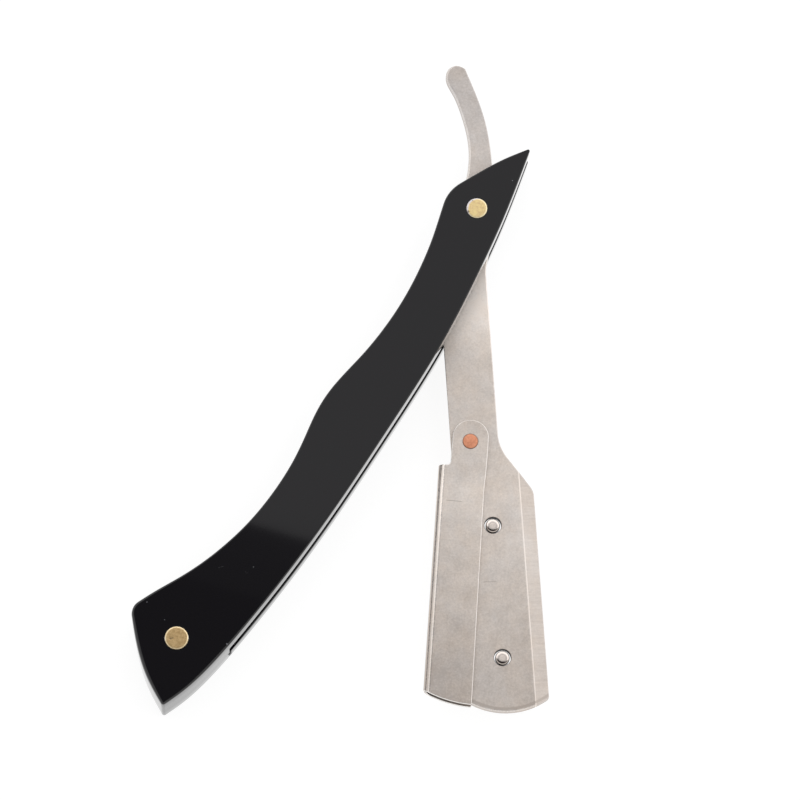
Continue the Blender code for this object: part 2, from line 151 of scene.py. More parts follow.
def arc(centre: Flat, radius: float, start: float, end: float, steps: int) -> np.ndarray:
    """Points of a circular arc between two angles."""
    angles = np.linspace(start, end, steps + 1)
    return np.column_stack((centre[0] + radius * np.cos(angles), centre[1] + radius * np.sin(angles)))


def trimmed(run: np.ndarray, length: float) -> np.ndarray:
    """Cuts a stretch off the start of a run; the new first point is read between two of its own.

    Args:
        run: Points of a line, as rows.
        length: How much of it goes.

    Returns:
        The points from the cut on.
    """
    along = np.concatenate(([0], np.cumsum(np.linalg.norm(np.diff(run, axis=0), axis=1))))
    start = [np.interp(length, along, run[:, axis]) for axis in (0, 1)]
    return np.vstack([start, run[along > length + WELD]])


def rounded_loop(runs: list[np.ndarray], radii: tuple[float, ...]) -> np.ndarray:
    """Closed outline from runs that meet end to end.

    A corner is cut back by its radius times the tangent of half its turn and bridged by a cubic curve,
    whose inner points lie 4/3 of the tangent of a quarter of the turn, times the radius, towards the
    corner.

    Args:
        runs: The stretches of the outline in order.
        radii: The radius at the end of each run, or 0 where the next run follows without a fillet.

    Returns:
        The points of the loop, each once.
    """
    runs = [np.array(run) for run in runs]
    corners = [run[-1].copy() for run in runs]
    following = runs[1:] + runs[:1]
    turns = [
        math.acos(max(-1, min(1, unit(run[-1] - run[-2]) @ unit(after[1] - after[0]))))
        for run, after in zip(runs, following)
    ]
    for i, radius in enumerate(radii):
        if radius:
            after = (i + 1) % len(runs)
            cut = radius * math.tan(turns[i] / 2)
            runs[i] = trimmed(runs[i][::-1], cut)[::-1]
            runs[after] = trimmed(runs[after], cut)
    loop = []
    for i, radius in enumerate(radii):
        start, end = runs[i][-1], runs[(i + 1) % len(runs)][0]
        if not radius:
            loop.append(runs[i][:-1])
            continue
        pull = 4 / 3 * math.tan(turns[i] / 4) * radius
        first, second = start + unit(corners[i] - start) * pull, end + unit(corners[i] - end) * pull
        t = np.linspace(0, 1, FILLET_STEPS + 1)[1:-1, None]
        fillet = (1 - t) ** 3 * start + 3 * (1 - t) ** 2 * t * first + 3 * (1 - t) * t ** 2 * second
        loop += [runs[i], fillet + t ** 3 * end]
    return anticlockwise(np.vstack(loop))


def anticlockwise(loop: np.ndarray) -> np.ndarray:
    """Puts a loop in the order that keeps its inside on the left, by the sign of its area.

    Args:
        loop: A closed outline.

    Returns:
        The same points in that order.
    """
    after = np.roll(loop, -1, axis=0)
    area = np.sum(loop[:, 0] * after[:, 1] - after[:, 0] * loop[:, 1])
    return loop if area > 0 else loop[::-1]


def outward(loop: np.ndarray) -> np.ndarray:
    """Mitred outward normals: the sum of two edge normals over one plus their dot product.

    Args:
        loop: A closed outline, anticlockwise.

    Returns:
        The normal at each point; a step along it moves both edges there by one.
    """
    edges = np.roll(loop, -1, axis=0) - loop
    edges /= np.linalg.norm(edges, axis=1)[:, None]
    normals = np.column_stack((edges[:, 1], -edges[:, 0]))
    before = np.roll(normals, 1, axis=0)
    return (normals + before) / (1 + np.sum(normals * before, axis=1))[:, None]


def crossed(loop: np.ndarray, value: np.ndarray) -> tuple[np.ndarray, np.ndarray]:
    """Adds a point to a loop wherever a value given at its points changes sign.

    The new point divides its edge in the ratio of the two values: value / (value - next value).

    Args:
        loop: A closed outline.
        value: The value at each of its points.

    Returns:
        The new loop, and which of its points are new.
    """
    after = np.roll(value, -1)
    hits = np.flatnonzero((value > 0) != (after > 0))
    share = (value[hits] / (value[hits] - after[hits]))[:, None]
    added = loop[hits] + share * (np.roll(loop, -1, axis=0)[hits] - loop[hits])
    return np.insert(loop, hits + 1, added, axis=0), hits + 1 + np.arange(len(hits))


def inside(places: np.ndarray, loops: list[np.ndarray]) -> np.ndarray:
    """Which places lie within the loops: a line from them towards +X crosses an odd number of edges.

    Args:
        places: Points in the plane, as rows.
        loops: Closed outlines, holes included.

    Returns:
        A truth value for each place.
    """
    crossings = np.zeros(len(places), dtype=int)
    for loop in loops:
        step = np.roll(loop, -1, axis=0) - loop
        along, up = places[:, :1] - loop[:, 0], places[:, 1:] - loop[:, 1]
        spanned = (up < 0) != (up < step[:, 1])
        left = step[:, 0] * up - step[:, 1] * along > 0
        crossings += np.sum(spanned & (left == (step[:, 1] > 0)), axis=1)
    return crossings % 2 == 1


def smoothstep(value: np.ndarray, low: float, high: float) -> np.ndarray:
    """Rises from 0 at low to 1 at high as 3t² - 2t³."""
    t = np.clip((value - low) / (high - low), 0, 1)
    return t * t * (3 - 2 * t)


# Surfaces

@dataclass(frozen=True)
class Rim:
    """How far an edge is rounded in from the outline and down from the face, alike or point by point."""

    inset: float | np.ndarray = 0.0
    depth: float | np.ndarray = 0.0

    @classmethod
    def even(cls, radius: float | np.ndarray) -> "Rim":
        """A rim that is rounded alike both ways."""
        return cls(radius, radius)


@dataclass(frozen=True)
class Hole:
    """A round hole through a plate, with a small bevel at both mouths and maybe painted shade inside."""

    centre: Flat
    radius: float
    bevel: float
    # How much shade is painted on the hole's wall, as a dark non-metal colour
    painted_shade: float = 0.0


class Surface:
    """One piece's points and faces, gathered from grids and caps, then welded into a closed mesh."""

    def __init__(self) -> None:
        """Starts with nothing."""
        self.points: list[np.ndarray] = []
        self.wear_and_light: list[np.ndarray] = []
        self.faces: list[list[int]] = []
        self.count = 0

    def add(self, points: np.ndarray, faces: np.ndarray, wear_and_light: np.ndarray | float = 0.0) -> None:
        """Adds points, and the faces that join them.

        Args:
            points: Rows of three coordinates.
            faces: Rows of indices into those points.
            wear_and_light: How much each point lies on a rubbed edge, which on steel also paints a
                highlight, up to 1, or under painted shade, down to -1.
        """
        self.faces += (faces + self.count).tolist()
        self.points.append(points)
        self.wear_and_light.append(np.broadcast_to(wear_and_light, len(points)))
        self.count += len(points)

    def grid(self, rows: np.ndarray, wear_and_light: np.ndarray | float = 0.0) -> None:
        """Adds a grid that closes along its rings: point (i, j) joins (i, j+1), (i+1, j+1) and (i+1, j).

        Args:
            rows: Rings of points, as an array of rings by points by three.
            wear_and_light: The value of each ring, or of all: rubbed edge and painted highlight above 0,
                painted shade below.
        """
        rings, sides = rows.shape[:2]
        index = np.arange(rings * sides).reshape(rings, sides)
        after = np.roll(index, -1, axis=1)
        faces = np.stack((index[:-1], after[:-1], after[1:], index[1:]), axis=-1).reshape(-1, 4)
        ring_wear_and_light = np.broadcast_to(np.reshape(wear_and_light, (-1, 1)), (rings, sides))
        self.add(rows.reshape(-1, 3), faces, ring_wear_and_light.ravel())

    def mesh(self, name: str, crease: Callable[[np.ndarray], np.ndarray] | None = None) -> bpy.types.Mesh:
        """Welds what was added, points the faces outwards and marks the sharp edges.

        Args:
            name: The mesh's name.
            crease: Says of each point whether it is on a line that stays sharp.

        Returns:
            The finished mesh.
        """
        mesh = bpy.data.meshes.new(name)
        mesh.from_pydata(np.vstack(self.points).tolist(), [], self.faces)
        wear_and_light = mesh.attributes.new("wear_and_light", "FLOAT", "POINT")
        wear_and_light.data.foreach_set("value", np.concatenate(self.wear_and_light).astype(np.float32))
        work = bmesh.new()
        work.from_mesh(mesh)
        bmesh.ops.remove_doubles(work, verts=work.verts, dist=WELD)
        bmesh.ops.recalc_face_normals(work, faces=work.faces)
        work.to_mesh(mesh)
        work.free()
        mesh.shade_smooth()
        mesh.set_sharp_from_angle(angle=SHARP_ANGLE)
        if crease:
            places = np.zeros(len(mesh.vertices) * 3)
            mesh.vertices.foreach_get("co", places)
            ends = np.zeros(len(mesh.edges) * 2, dtype=int)
            mesh.edges.foreach_get("vertices", ends)
            on_line = crease(places.reshape(-1, 3))[ends.reshape(-1, 2)].all(axis=1)
            sharp = np.zeros(len(mesh.edges), dtype=bool)
            mesh.attributes["sharp_edge"].data.foreach_get("value", sharp)
            mesh.attributes["sharp_edge"].data.foreach_set("value", sharp | on_line)
        return mesh


def turned(radii: np.ndarray, heights: np.ndarray, sides: int, centre: Flat = (0.0, 0.0)) -> np.ndarray:
    """Rings of a turned piece: ring i has the points (x + r cos a, y + r sin a, z).

    Args:
        radii: The radius of each ring.
        heights: The height of each ring.
        sides: Points in a ring.
        centre: Where the axis stands.

    Returns:
        An array of rings by points by three.
    """
    angles = np.linspace(0, 2 * math.pi, sides, endpoint=False)
    rings = np.empty((len(radii), sides, 3))
    rings[..., 0] = centre[0] + radii[:, None] * np.cos(angles)
    rings[..., 1] = centre[1] + radii[:, None] * np.sin(angles)
    rings[..., 2] = heights[:, None]
    return rings


@dataclass(frozen=True)
class Bar:
    """A round bar with a low domed head at each end.

    At the share s of the radius a head rises by dome·(1 - s⁴), less the lip, which sets in between the
    lip's two shares.
    """

    radius: float
    low: float
    high: float
    dome: float
    lip: float
    shares: tuple[float, ...]
    lip_shares: Flat = (0.93, 1.0)

    def rings(self, sides: int, centre: Flat = (0.0, 0.0)) -> np.ndarray:
        """Rings from the middle of the upper head to the middle of the lower one.

        Args:
            sides: Points in a ring.
            centre: Where the bar stands.

        Returns:
            An array of rings by points by three.
        """
        shares = np.array(self.shares)
        head = self.dome * (1 - shares ** 4) - self.lip * smoothstep(shares, *self.lip_shares)
        radii = self.radius * np.concatenate((shares, shares[::-1]))
        heights = np.concatenate((self.high + head, self.low - head[::-1]))
        return turned(radii, heights, sides, centre)


def flat_relief(places: np.ndarray) -> np.ndarray:
    """No relief: the face stays flat."""
    return np.zeros(len(places))


@dataclass
class Plate:
    """A plate with rounded rims and round holes, in its own plane, and maybe painted shade on its rear
    face.

    The rim of each face is a quarter of an ellipse: at angle a the section lies inset·(1 - sin a) inside
    the outline and depth·(1 - cos a) below the face. The faces are triangulated between the rim and the
    holes, with an edge along each of the lines, which are pairs of points of the outline. The relief says
    how far the front face lies lower at a place, and the bend carries the flat plate's points to where
    they end up.
    """

    outline: np.ndarray
    low: float
    high: float
    front: Rim
    rear: Rim
    holes: tuple[Hole, ...] = ()
    lines: Pairs = ()
    relief: Callable[[np.ndarray], np.ndarray] = flat_relief
    bend: Callable[[np.ndarray], np.ndarray] | None = None
    # How much shade is painted on the rear face, as a dark non-metal colour
    painted_shade: float = 0.0

    def rim_rings(self, side: Side) -> tuple[np.ndarray, np.ndarray]:
        """Rings from the face to the wall of one side.

        Args:
            side: Which side.

        Returns:
            The rings, and the wear of each, which is the sine of twice its angle round the rim; on steel
            it also paints a highlight.
        """
        rim, face = (self.front, self.high) if side is Side.FRONT else (self.rear, self.low)
        inset, depth = (np.broadcast_to(size, len(self.outline)) for size in (rim.inset, rim.depth))
        angles = np.linspace(0, math.pi / 2, RIM_STEPS + 1)[:, None]
        insets = np.vstack((inset + SUPPORT, inset * (1 - np.sin(angles))))
        depths = np.vstack((0 * depth, depth * (1 - np.cos(angles))))
        flat = self.outline - outward(self.outline) * insets[..., None]
        drop = self.relief(flat.reshape(-1, 2)).reshape(depths.shape) if side is Side.FRONT else 0
        heights = face - side.value * (depths + drop)
        wear_and_light = np.concatenate(([0.0], np.sin(2 * angles[:, 0])))
        return np.concatenate((flat, heights[..., None]), axis=-1), wear_and_light

    def hole_rings(self, hole: Hole) -> tuple[np.ndarray, np.ndarray]:
        """Rings down a hole's wall: the mouth, the bevel and the same again at the other face.

        Args:
            hole: The hole.

        Returns:
            The rings, and the wear value of each, which is below 0 where shade is painted on the wall.
        """
        mouth = hole.radius + hole.bevel
        radii = np.array((mouth + SUPPORT, mouth, hole.radius, hole.radius, mouth, mouth + SUPPORT))
        tops = (self.high, self.high, self.high - hole.bevel)
        feet = (self.low + hole.bevel, self.low, self.low)
        on_wall = np.array((0, 0, 1, 1, 0, 0))
        return turned(radii, np.array(tops + feet), HOLE_SIDES, hole.centre), -hole.painted_shade * on_wall

    def cap(self, loops: list[np.ndarray], side: Side) -> tuple[np.ndarray, np.ndarray]:
        """Triangles of a face between its loops, by constrained Delaunay triangulation.

        Args:
            loops: The outer loop and the mouth of each hole.
            side: Which face it is.

        Returns:
            The points and the triangles.
        """
        points = np.vstack(loops)
        sizes = np.array([len(loop) for loop in loops])
        starts = np.repeat(np.cumsum(sizes) - sizes, sizes)
        index = np.arange(len(points))
        edges = np.column_stack((index, starts + (index - starts + 1) % np.repeat(sizes, sizes)))
        edges = edges.tolist() + [list(line) for line in self.lines]
        made = delaunay_2d_cdt((points / MM).tolist(), edges, [], 0, WELD, False)
        flat = np.array([tuple(corner) for corner in made[0]]) * MM
        triangles = np.array(made[2])
        kept = inside(flat[triangles].mean(axis=1), loops)
        if side is Side.FRONT:
            heights = self.high - self.relief(flat)
        else:
            heights = np.full(len(flat), self.low)
        return np.column_stack((flat, heights)), triangles[kept]

    def bent(self, places: np.ndarray) -> np.ndarray:
        """Places of the flat plate where the bend carries them."""
        return self.bend(places.reshape(-1, 3)).reshape(places.shape) if self.bend else places

    def surface(self) -> Surface:
        """The whole plate: rims and wall, holes and both faces.

        Returns:
            The surface, open nowhere once it is welded.
        """
        made = Surface()
        front, front_wear_and_light = self.rim_rings(Side.FRONT)
        rear, rear_wear_and_light = self.rim_rings(Side.REAR)
        rings = np.concatenate((front, rear[::-1]))
        made.grid(self.bent(rings), np.concatenate((front_wear_and_light, rear_wear_and_light[::-1])))
        walls = [self.hole_rings(hole) for hole in self.holes]
        for wall, wear_and_light in walls:
            made.grid(self.bent(wall), wear_and_light)
        for side, outer, row in ((Side.FRONT, front[0], 0), (Side.REAR, rear[0], -1)):
            loops = [outer[:, :2]] + [wall[row, :, :2] for wall, _ in walls]
            points, triangles = self.cap(loops, side)
            made.add(self.bent(points), triangles, -self.painted_shade if side is Side.REAR else 0.0)
        return made


# Shaders

class Wire:
    """A shader socket that takes part in Python sums, so that shader maths reads as an expression."""

    def __init__(self, graph: "Graph", socket: bpy.types.NodeSocket) -> None:
        """Keeps the socket and the graph that it belongs to."""
        self.graph = graph
        self.socket = socket

    def math(self, operation: str, *values: "Wire | float") -> "Wire":
        """One Math node on these values."""
        return self.graph.node("ShaderNodeMath", {"operation": operation}, dict(enumerate(values)))

    def __add__(self, other: "Wire | float") -> "Wire":
        """Sum."""
        return self.math("ADD", self, other)

    __radd__ = __add__

    def __sub__(self, other: "Wire | float") -> "Wire":
        """Difference."""
        return self.math("SUBTRACT", self, other)

    def __rsub__(self, other: "Wire | float") -> "Wire":
        """Difference from a number."""
        return self.math("SUBTRACT", other, self)

    def __mul__(self, other: "Wire | float") -> "Wire":
        """Product."""
        return self.math("MULTIPLY", self, other)

    __rmul__ = __mul__

    def __abs__(self) -> "Wire":
        """Size without sign."""
        return self.math("ABSOLUTE", self)

    def least(self, other: "Wire | float") -> "Wire":
        """The smaller of two."""
        return self.math("MINIMUM", self, other)

    def most(self, other: "Wire | float") -> "Wire":
        """The larger of two."""
        return self.math("MAXIMUM", self, other)

    def held(self) -> "Wire":
        """The value held between 0 and 1."""
        return self.most(0.0).least(1.0)

    def between(self, low: float, high: float) -> "Wire":
        """Rises smoothly from 0 at low to 1 at high; falls instead where low is the larger.

        Args:
            low: Where the result is 0.
            high: Where the result is 1.

        Returns:
            The result, between 0 and 1.
        """
        values = {"Value": self, "From Min": low, "From Max": high}
        if low > high:
            values |= {"From Min": high, "From Max": low, "To Min": 1.0, "To Max": 0.0}
        return self.graph.node("ShaderNodeMapRange", {"interpolation_type": "SMOOTHSTEP"}, values)


@dataclass(frozen=True)
class Effect:
    """How much a pattern adds to a surface's tone, to its roughness and to its height."""

    tone: float = 0.0
    rough: float = 0.0
    height: float = 0.0


@dataclass
class Skin:
    """What a surface is like at a place: its tone, its roughness and its height."""

    tone: Wire | float = 0.0
    rough: Wire | float = 0.0
    height: Wire | float = 0.0

    def add(self, pattern: Wire, effect: Effect) -> None:
        """Adds a pattern's effect.

        Args:
            pattern: Where the effect is, and how strong.
            effect: What it does.
        """
        if effect.tone:
            self.tone = pattern * effect.tone + self.tone
        if effect.rough:
            self.rough = pattern * effect.rough + self.rough
        if effect.height:
            self.height = pattern * effect.height + self.height


@dataclass(frozen=True)
class Noise:
    """A soft noise: its scale per millimetre, its octaves and their roughness, and what it does.

    The squeeze multiplies the coordinates axis by axis before the noise is read.
    """

    scale: float
    detail: float
    roughness: float = 0.5
    squeeze: Triple | None = None
    effect: Effect = Effect()


class Graph:
    """A node tree that is filled through one method."""

    def __init__(self, tree: bpy.types.NodeTree) -> None:
        """Empties the tree."""
        tree.nodes.clear()
        self.tree = tree

    def node(
        self, kind: str, settings: dict | None = None, values: dict | None = None, output: int | str = 0
    ) -> Wire:
        """Adds a node.

        Args:
            kind: The node's type.
            settings: Its properties, set first.
            values: For each input, by name or place, a number, a colour or a wire.
            output: Which output to return.

        Returns:
            The output, ready for sums.
        """
        made = self.tree.nodes.new(kind)
        for name, value in (settings or {}).items():
            setattr(made, name, value)
        for key, value in (values or {}).items():
            if isinstance(value, Wire):
                self.tree.links.new(value.socket, made.inputs[key])
            else:
                made.inputs[key].default_value = value
        return Wire(self, made.outputs[output] if len(made.outputs) else None)

    def seated(self, place: Wire, origin: Flat, turn: float, scale: float = 1.0) -> Wire:
        """Coordinates about an origin in the plane.

        Args:
            place: The coordinates to start from.
            origin: Where the new ones are 0.
            turn: How far their axes are turned.
            scale: How long their unit is.

        Returns:
            The new coordinates.
        """
        values = {
            "Vector": place,
            "Location": (*origin, 0.0),
            "Rotation": (0.0, 0.0, turn),
            "Scale": (scale, scale, scale),
        }
        return self.node("ShaderNodeMapping", {"vector_type": "TEXTURE"}, values)

    def stretched(self, place: Wire, factors: Triple) -> Wire:
        """Coordinates multiplied axis by axis."""
        return self.node("ShaderNodeVectorMath", {"operation": "MULTIPLY"}, {0: place, 1: factors})

    def axis(self, place: Wire, name: str) -> Wire:
        """One coordinate of a vector."""
        return self.node("ShaderNodeSeparateXYZ", {}, {0: place}, name)

    def noise(self, place: Wire, pattern: Noise) -> Wire:
        """Soft noise about 0, within half a unit.

        Args:
            place: The coordinates that it is read at.
            pattern: What it is like.

        Returns:
            The noise.
        """
        if pattern.squeeze:
            place = self.stretched(place, pattern.squeeze)
        values = {"Scale": pattern.scale, "Detail": pattern.detail, "Roughness": pattern.roughness}
        return self.node("ShaderNodeTexNoise", {}, {"Vector": place, **values}) - 0.5

    def cells(self, place: Wire, scale: float, output: str = "Distance") -> Wire:
        """Distance to the nearest of scattered points, or that cell's own colour."""
        return self.node("ShaderNodeTexVoronoi", {}, {"Vector": place, "Scale": scale}, output)

    def distance(self, place: Wire, centre: Flat) -> Wire:
        """Distance in the plane from a centre."""
        values = {0: self.stretched(place, (1.0, 1.0, 0.0)), 1: (*centre, 0.0)}
        return self.node("ShaderNodeVectorMath", {"operation": "DISTANCE"}, values, "Value")

    def blend(
        self, factor: Wire | float, first: Wire | Colour, second: Wire | Colour, kind: str = "MIX"
    ) -> Wire:
        """Mixes two colours.

        Args:
            factor: How much of the second.
            first: The colour underneath.
            second: The colour on top.
            kind: How it lies there.

        Returns:
            The mixed colour.
        """
        colours = [c if isinstance(c, Wire) else (*c, 1.0) for c in (first, second)]
        values = {"Factor": factor, 6: colours[0], 7: colours[1]}
        return self.node("ShaderNodeMix", {"data_type": "RGBA", "blend_type": kind}, values, 2)

    def stroke(self, place: Wire, start: Flat, end: Flat, width: float) -> Wire:
        """A thin straight mark with tapered ends.

        Args:
            place: The coordinates that it is read at.
            start: Its blunter end.
            end: Its finer end.
            width: How far it reaches to each side.

        Returns:
            1 on the line and 0 away from it.
        """
        length = math.dist(start, end)
        turn = math.atan2(end[1] - start[1], end[0] - start[0])
        local = self.seated(place, start, turn)
        along, across = self.axis(local, "X"), self.axis(local, "Y")
        blunt = along.between(0.0, width * BLUNT_TAPER)
        fine = along.between(length, length - width * FINE_TAPER)
        return abs(across).between(width, 0.0) * (blunt * fine)

    def bump(self, height: Wire, distance: float) -> Wire:
        """Normals from a height in units of the distance."""
        return self.node("ShaderNodeBump", {}, {"Height": height, "Distance": distance, "Strength": 1.0})

    def wear_and_light(self) -> Wire:
        """The piece's own measure of rubbed edges, which on steel also paint a highlight, and below 0
        where shade is painted.
        """
        return self.node("ShaderNodeAttribute", {"attribute_name": "wear_and_light"}, output="Fac")

    def painted_shade(self) -> Wire:
        """How much shade is painted there."""
        return (0.0 - self.wear_and_light()).most(0.0)


def new_material(name: str) -> tuple[bpy.types.Material, Graph]:
    """A new material.

    Args:
        name: Its name.

    Returns:
        The material and its empty graph.
    """
    material = bpy.data.materials.new(name)
    material.use_nodes = True
    return material, Graph(material.node_tree)


@dataclass(frozen=True)
class Place:
    """Where a piece or its pattern is centred in the plane, and how far it is turned."""

    origin: Flat = (0.0, 0.0)
    turn: float = 0.0

    def at(self, point: Flat) -> "Place":
        """The same turn about a point of this plane.

        Args:
            point: The point, in this place's own coordinates.

        Returns:
            The place about that point.
        """
        c, s = math.cos(self.turn), math.sin(self.turn)
        x, y = self.origin
        return Place((x + point[0] * c - point[1] * s, y + point[0] * s + point[1] * c), self.turn)


@dataclass(frozen=True)
class Finish:
    """What a surface is made of; each kind adds its own pattern."""

    name: str
    place: Place = Place()

    def paint(self, graph: Graph, place: Wire) -> dict:
        """Inputs of the surface shader, by name."""
        raise NotImplementedError

    def material(self) -> bpy.types.Material:
        """A new material in this finish, with its pattern in millimetres about its place.

        Returns:
            The material.
        """
        material, graph = new_material(self.name)
        where = graph.node("ShaderNodeTexCoord", output="Object")
        inputs = self.paint(graph, graph.seated(where, self.place.origin, self.place.turn, MM))
        shader = graph.node("ShaderNodeBsdfPrincipled", {}, inputs)
        graph.node("ShaderNodeOutputMaterial", {}, {"Surface": shader})
        return material


@dataclass(frozen=True)
class BlackPlastic(Finish):
    """Black plastic with specks of dust, faint hairlines, rubbed rims and walls polished by handling."""

    colour: Colour = (0.0049, 0.0043, 0.0057)
    rubbed: Colour = (0.030, 0.028, 0.026)
    rubbed_cover: float = 0.5
    dust: Colour = (0.10, 0.10, 0.11)
    dust_effect: Effect = Effect(rough=0.3, height=4.0)
    roughness: float = 0.03
    haze: Noise = Noise(0.05, 3.0, effect=Effect(rough=0.02))
    hairlines: Noise = Noise(1.6, 3.0, 0.7, (0.3, 3.5, 1.0), Effect(height=0.12))
    rubbing: Noise = Noise(0.7, 4.0, 0.7, effect=Effect(rough=0.05))
    rubbing_range: Flat = (-0.15, 0.25)
    speck_cells: float = 0.13
    speck_reach: Flat = (0.034, 0.012)
    speck_choice: Flat = (0.55, 0.62)
    speck_strength: float = 0.3
    speck_core: float = 0.3
    hair_strength: float = 0.35
    upright: Flat = (0.6, 0.2)
    polish: float = 0.35
    polish_gain: float = 0.60
    polish_run: Flat = (-105.0, -10.0)
    relief: float = 0.0000003
    specks: tuple[Spot, ...] = ()
    hairs: tuple[Stroke, ...] = ()

    def dusting(self, graph: Graph, place: Wire) -> Wire:
        """Specks near some of the scattered points, and specks and hairs at places of their own.

        Args:
            graph: The graph to add to.
            place: The coordinates of the handle.

        Returns:
            How much dust there is.
        """
        cell = graph.cells(place, self.speck_cells, "Color")
        chosen = graph.node("ShaderNodeSeparateColor", {}, {0: cell}, 0).between(*self.speck_choice)
        near = graph.cells(place, self.speck_cells).between(*self.speck_reach)
        dust = near * chosen * self.speck_strength
        for centre, size, strength in self.specks:
            speck = graph.distance(place, centre).between(size, size * self.speck_core)
            dust = dust.most(speck * strength)
        for hair in self.hairs:
            dust = dust.most(graph.stroke(place, *hair) * self.hair_strength)
        return dust

    def paint(self, graph: Graph, place: Wire) -> dict:
        """Dust and rubbed rims lie over the black, and hairlines run across the handle.

        Walls have a coat that flat faces lack, and it grows along the handle towards the nose.

        Args:
            graph: The graph to add to.
            place: The coordinates of the handle.

        Returns:
            Inputs of the surface shader, by name.
        """
        skin = Skin(rough=self.roughness)
        dust = self.dusting(graph, place)
        rub = graph.wear_and_light() * graph.noise(place, self.rubbing).between(*self.rubbing_range)
        skin.add(dust, self.dust_effect)
        skin.add(rub, self.rubbing.effect)
        for pattern in (self.haze, self.hairlines):
            skin.add(graph.noise(place, pattern), pattern.effect)
        normal = graph.node("ShaderNodeTexCoord", output="Normal")
        upright = abs(graph.axis(normal, "Z")).between(*self.upright)
        polish = graph.axis(place, "Y").between(*self.polish_run) * self.polish_gain + self.polish
        colour = graph.blend(dust, self.colour, self.dust)
        return {
            "Base Color": graph.blend(rub * self.rubbed_cover, colour, self.rubbed),
            "Roughness": skin.rough,
            "Coat Weight": upright * polish,
            "Normal": graph.bump(skin.height, self.relief),
        }


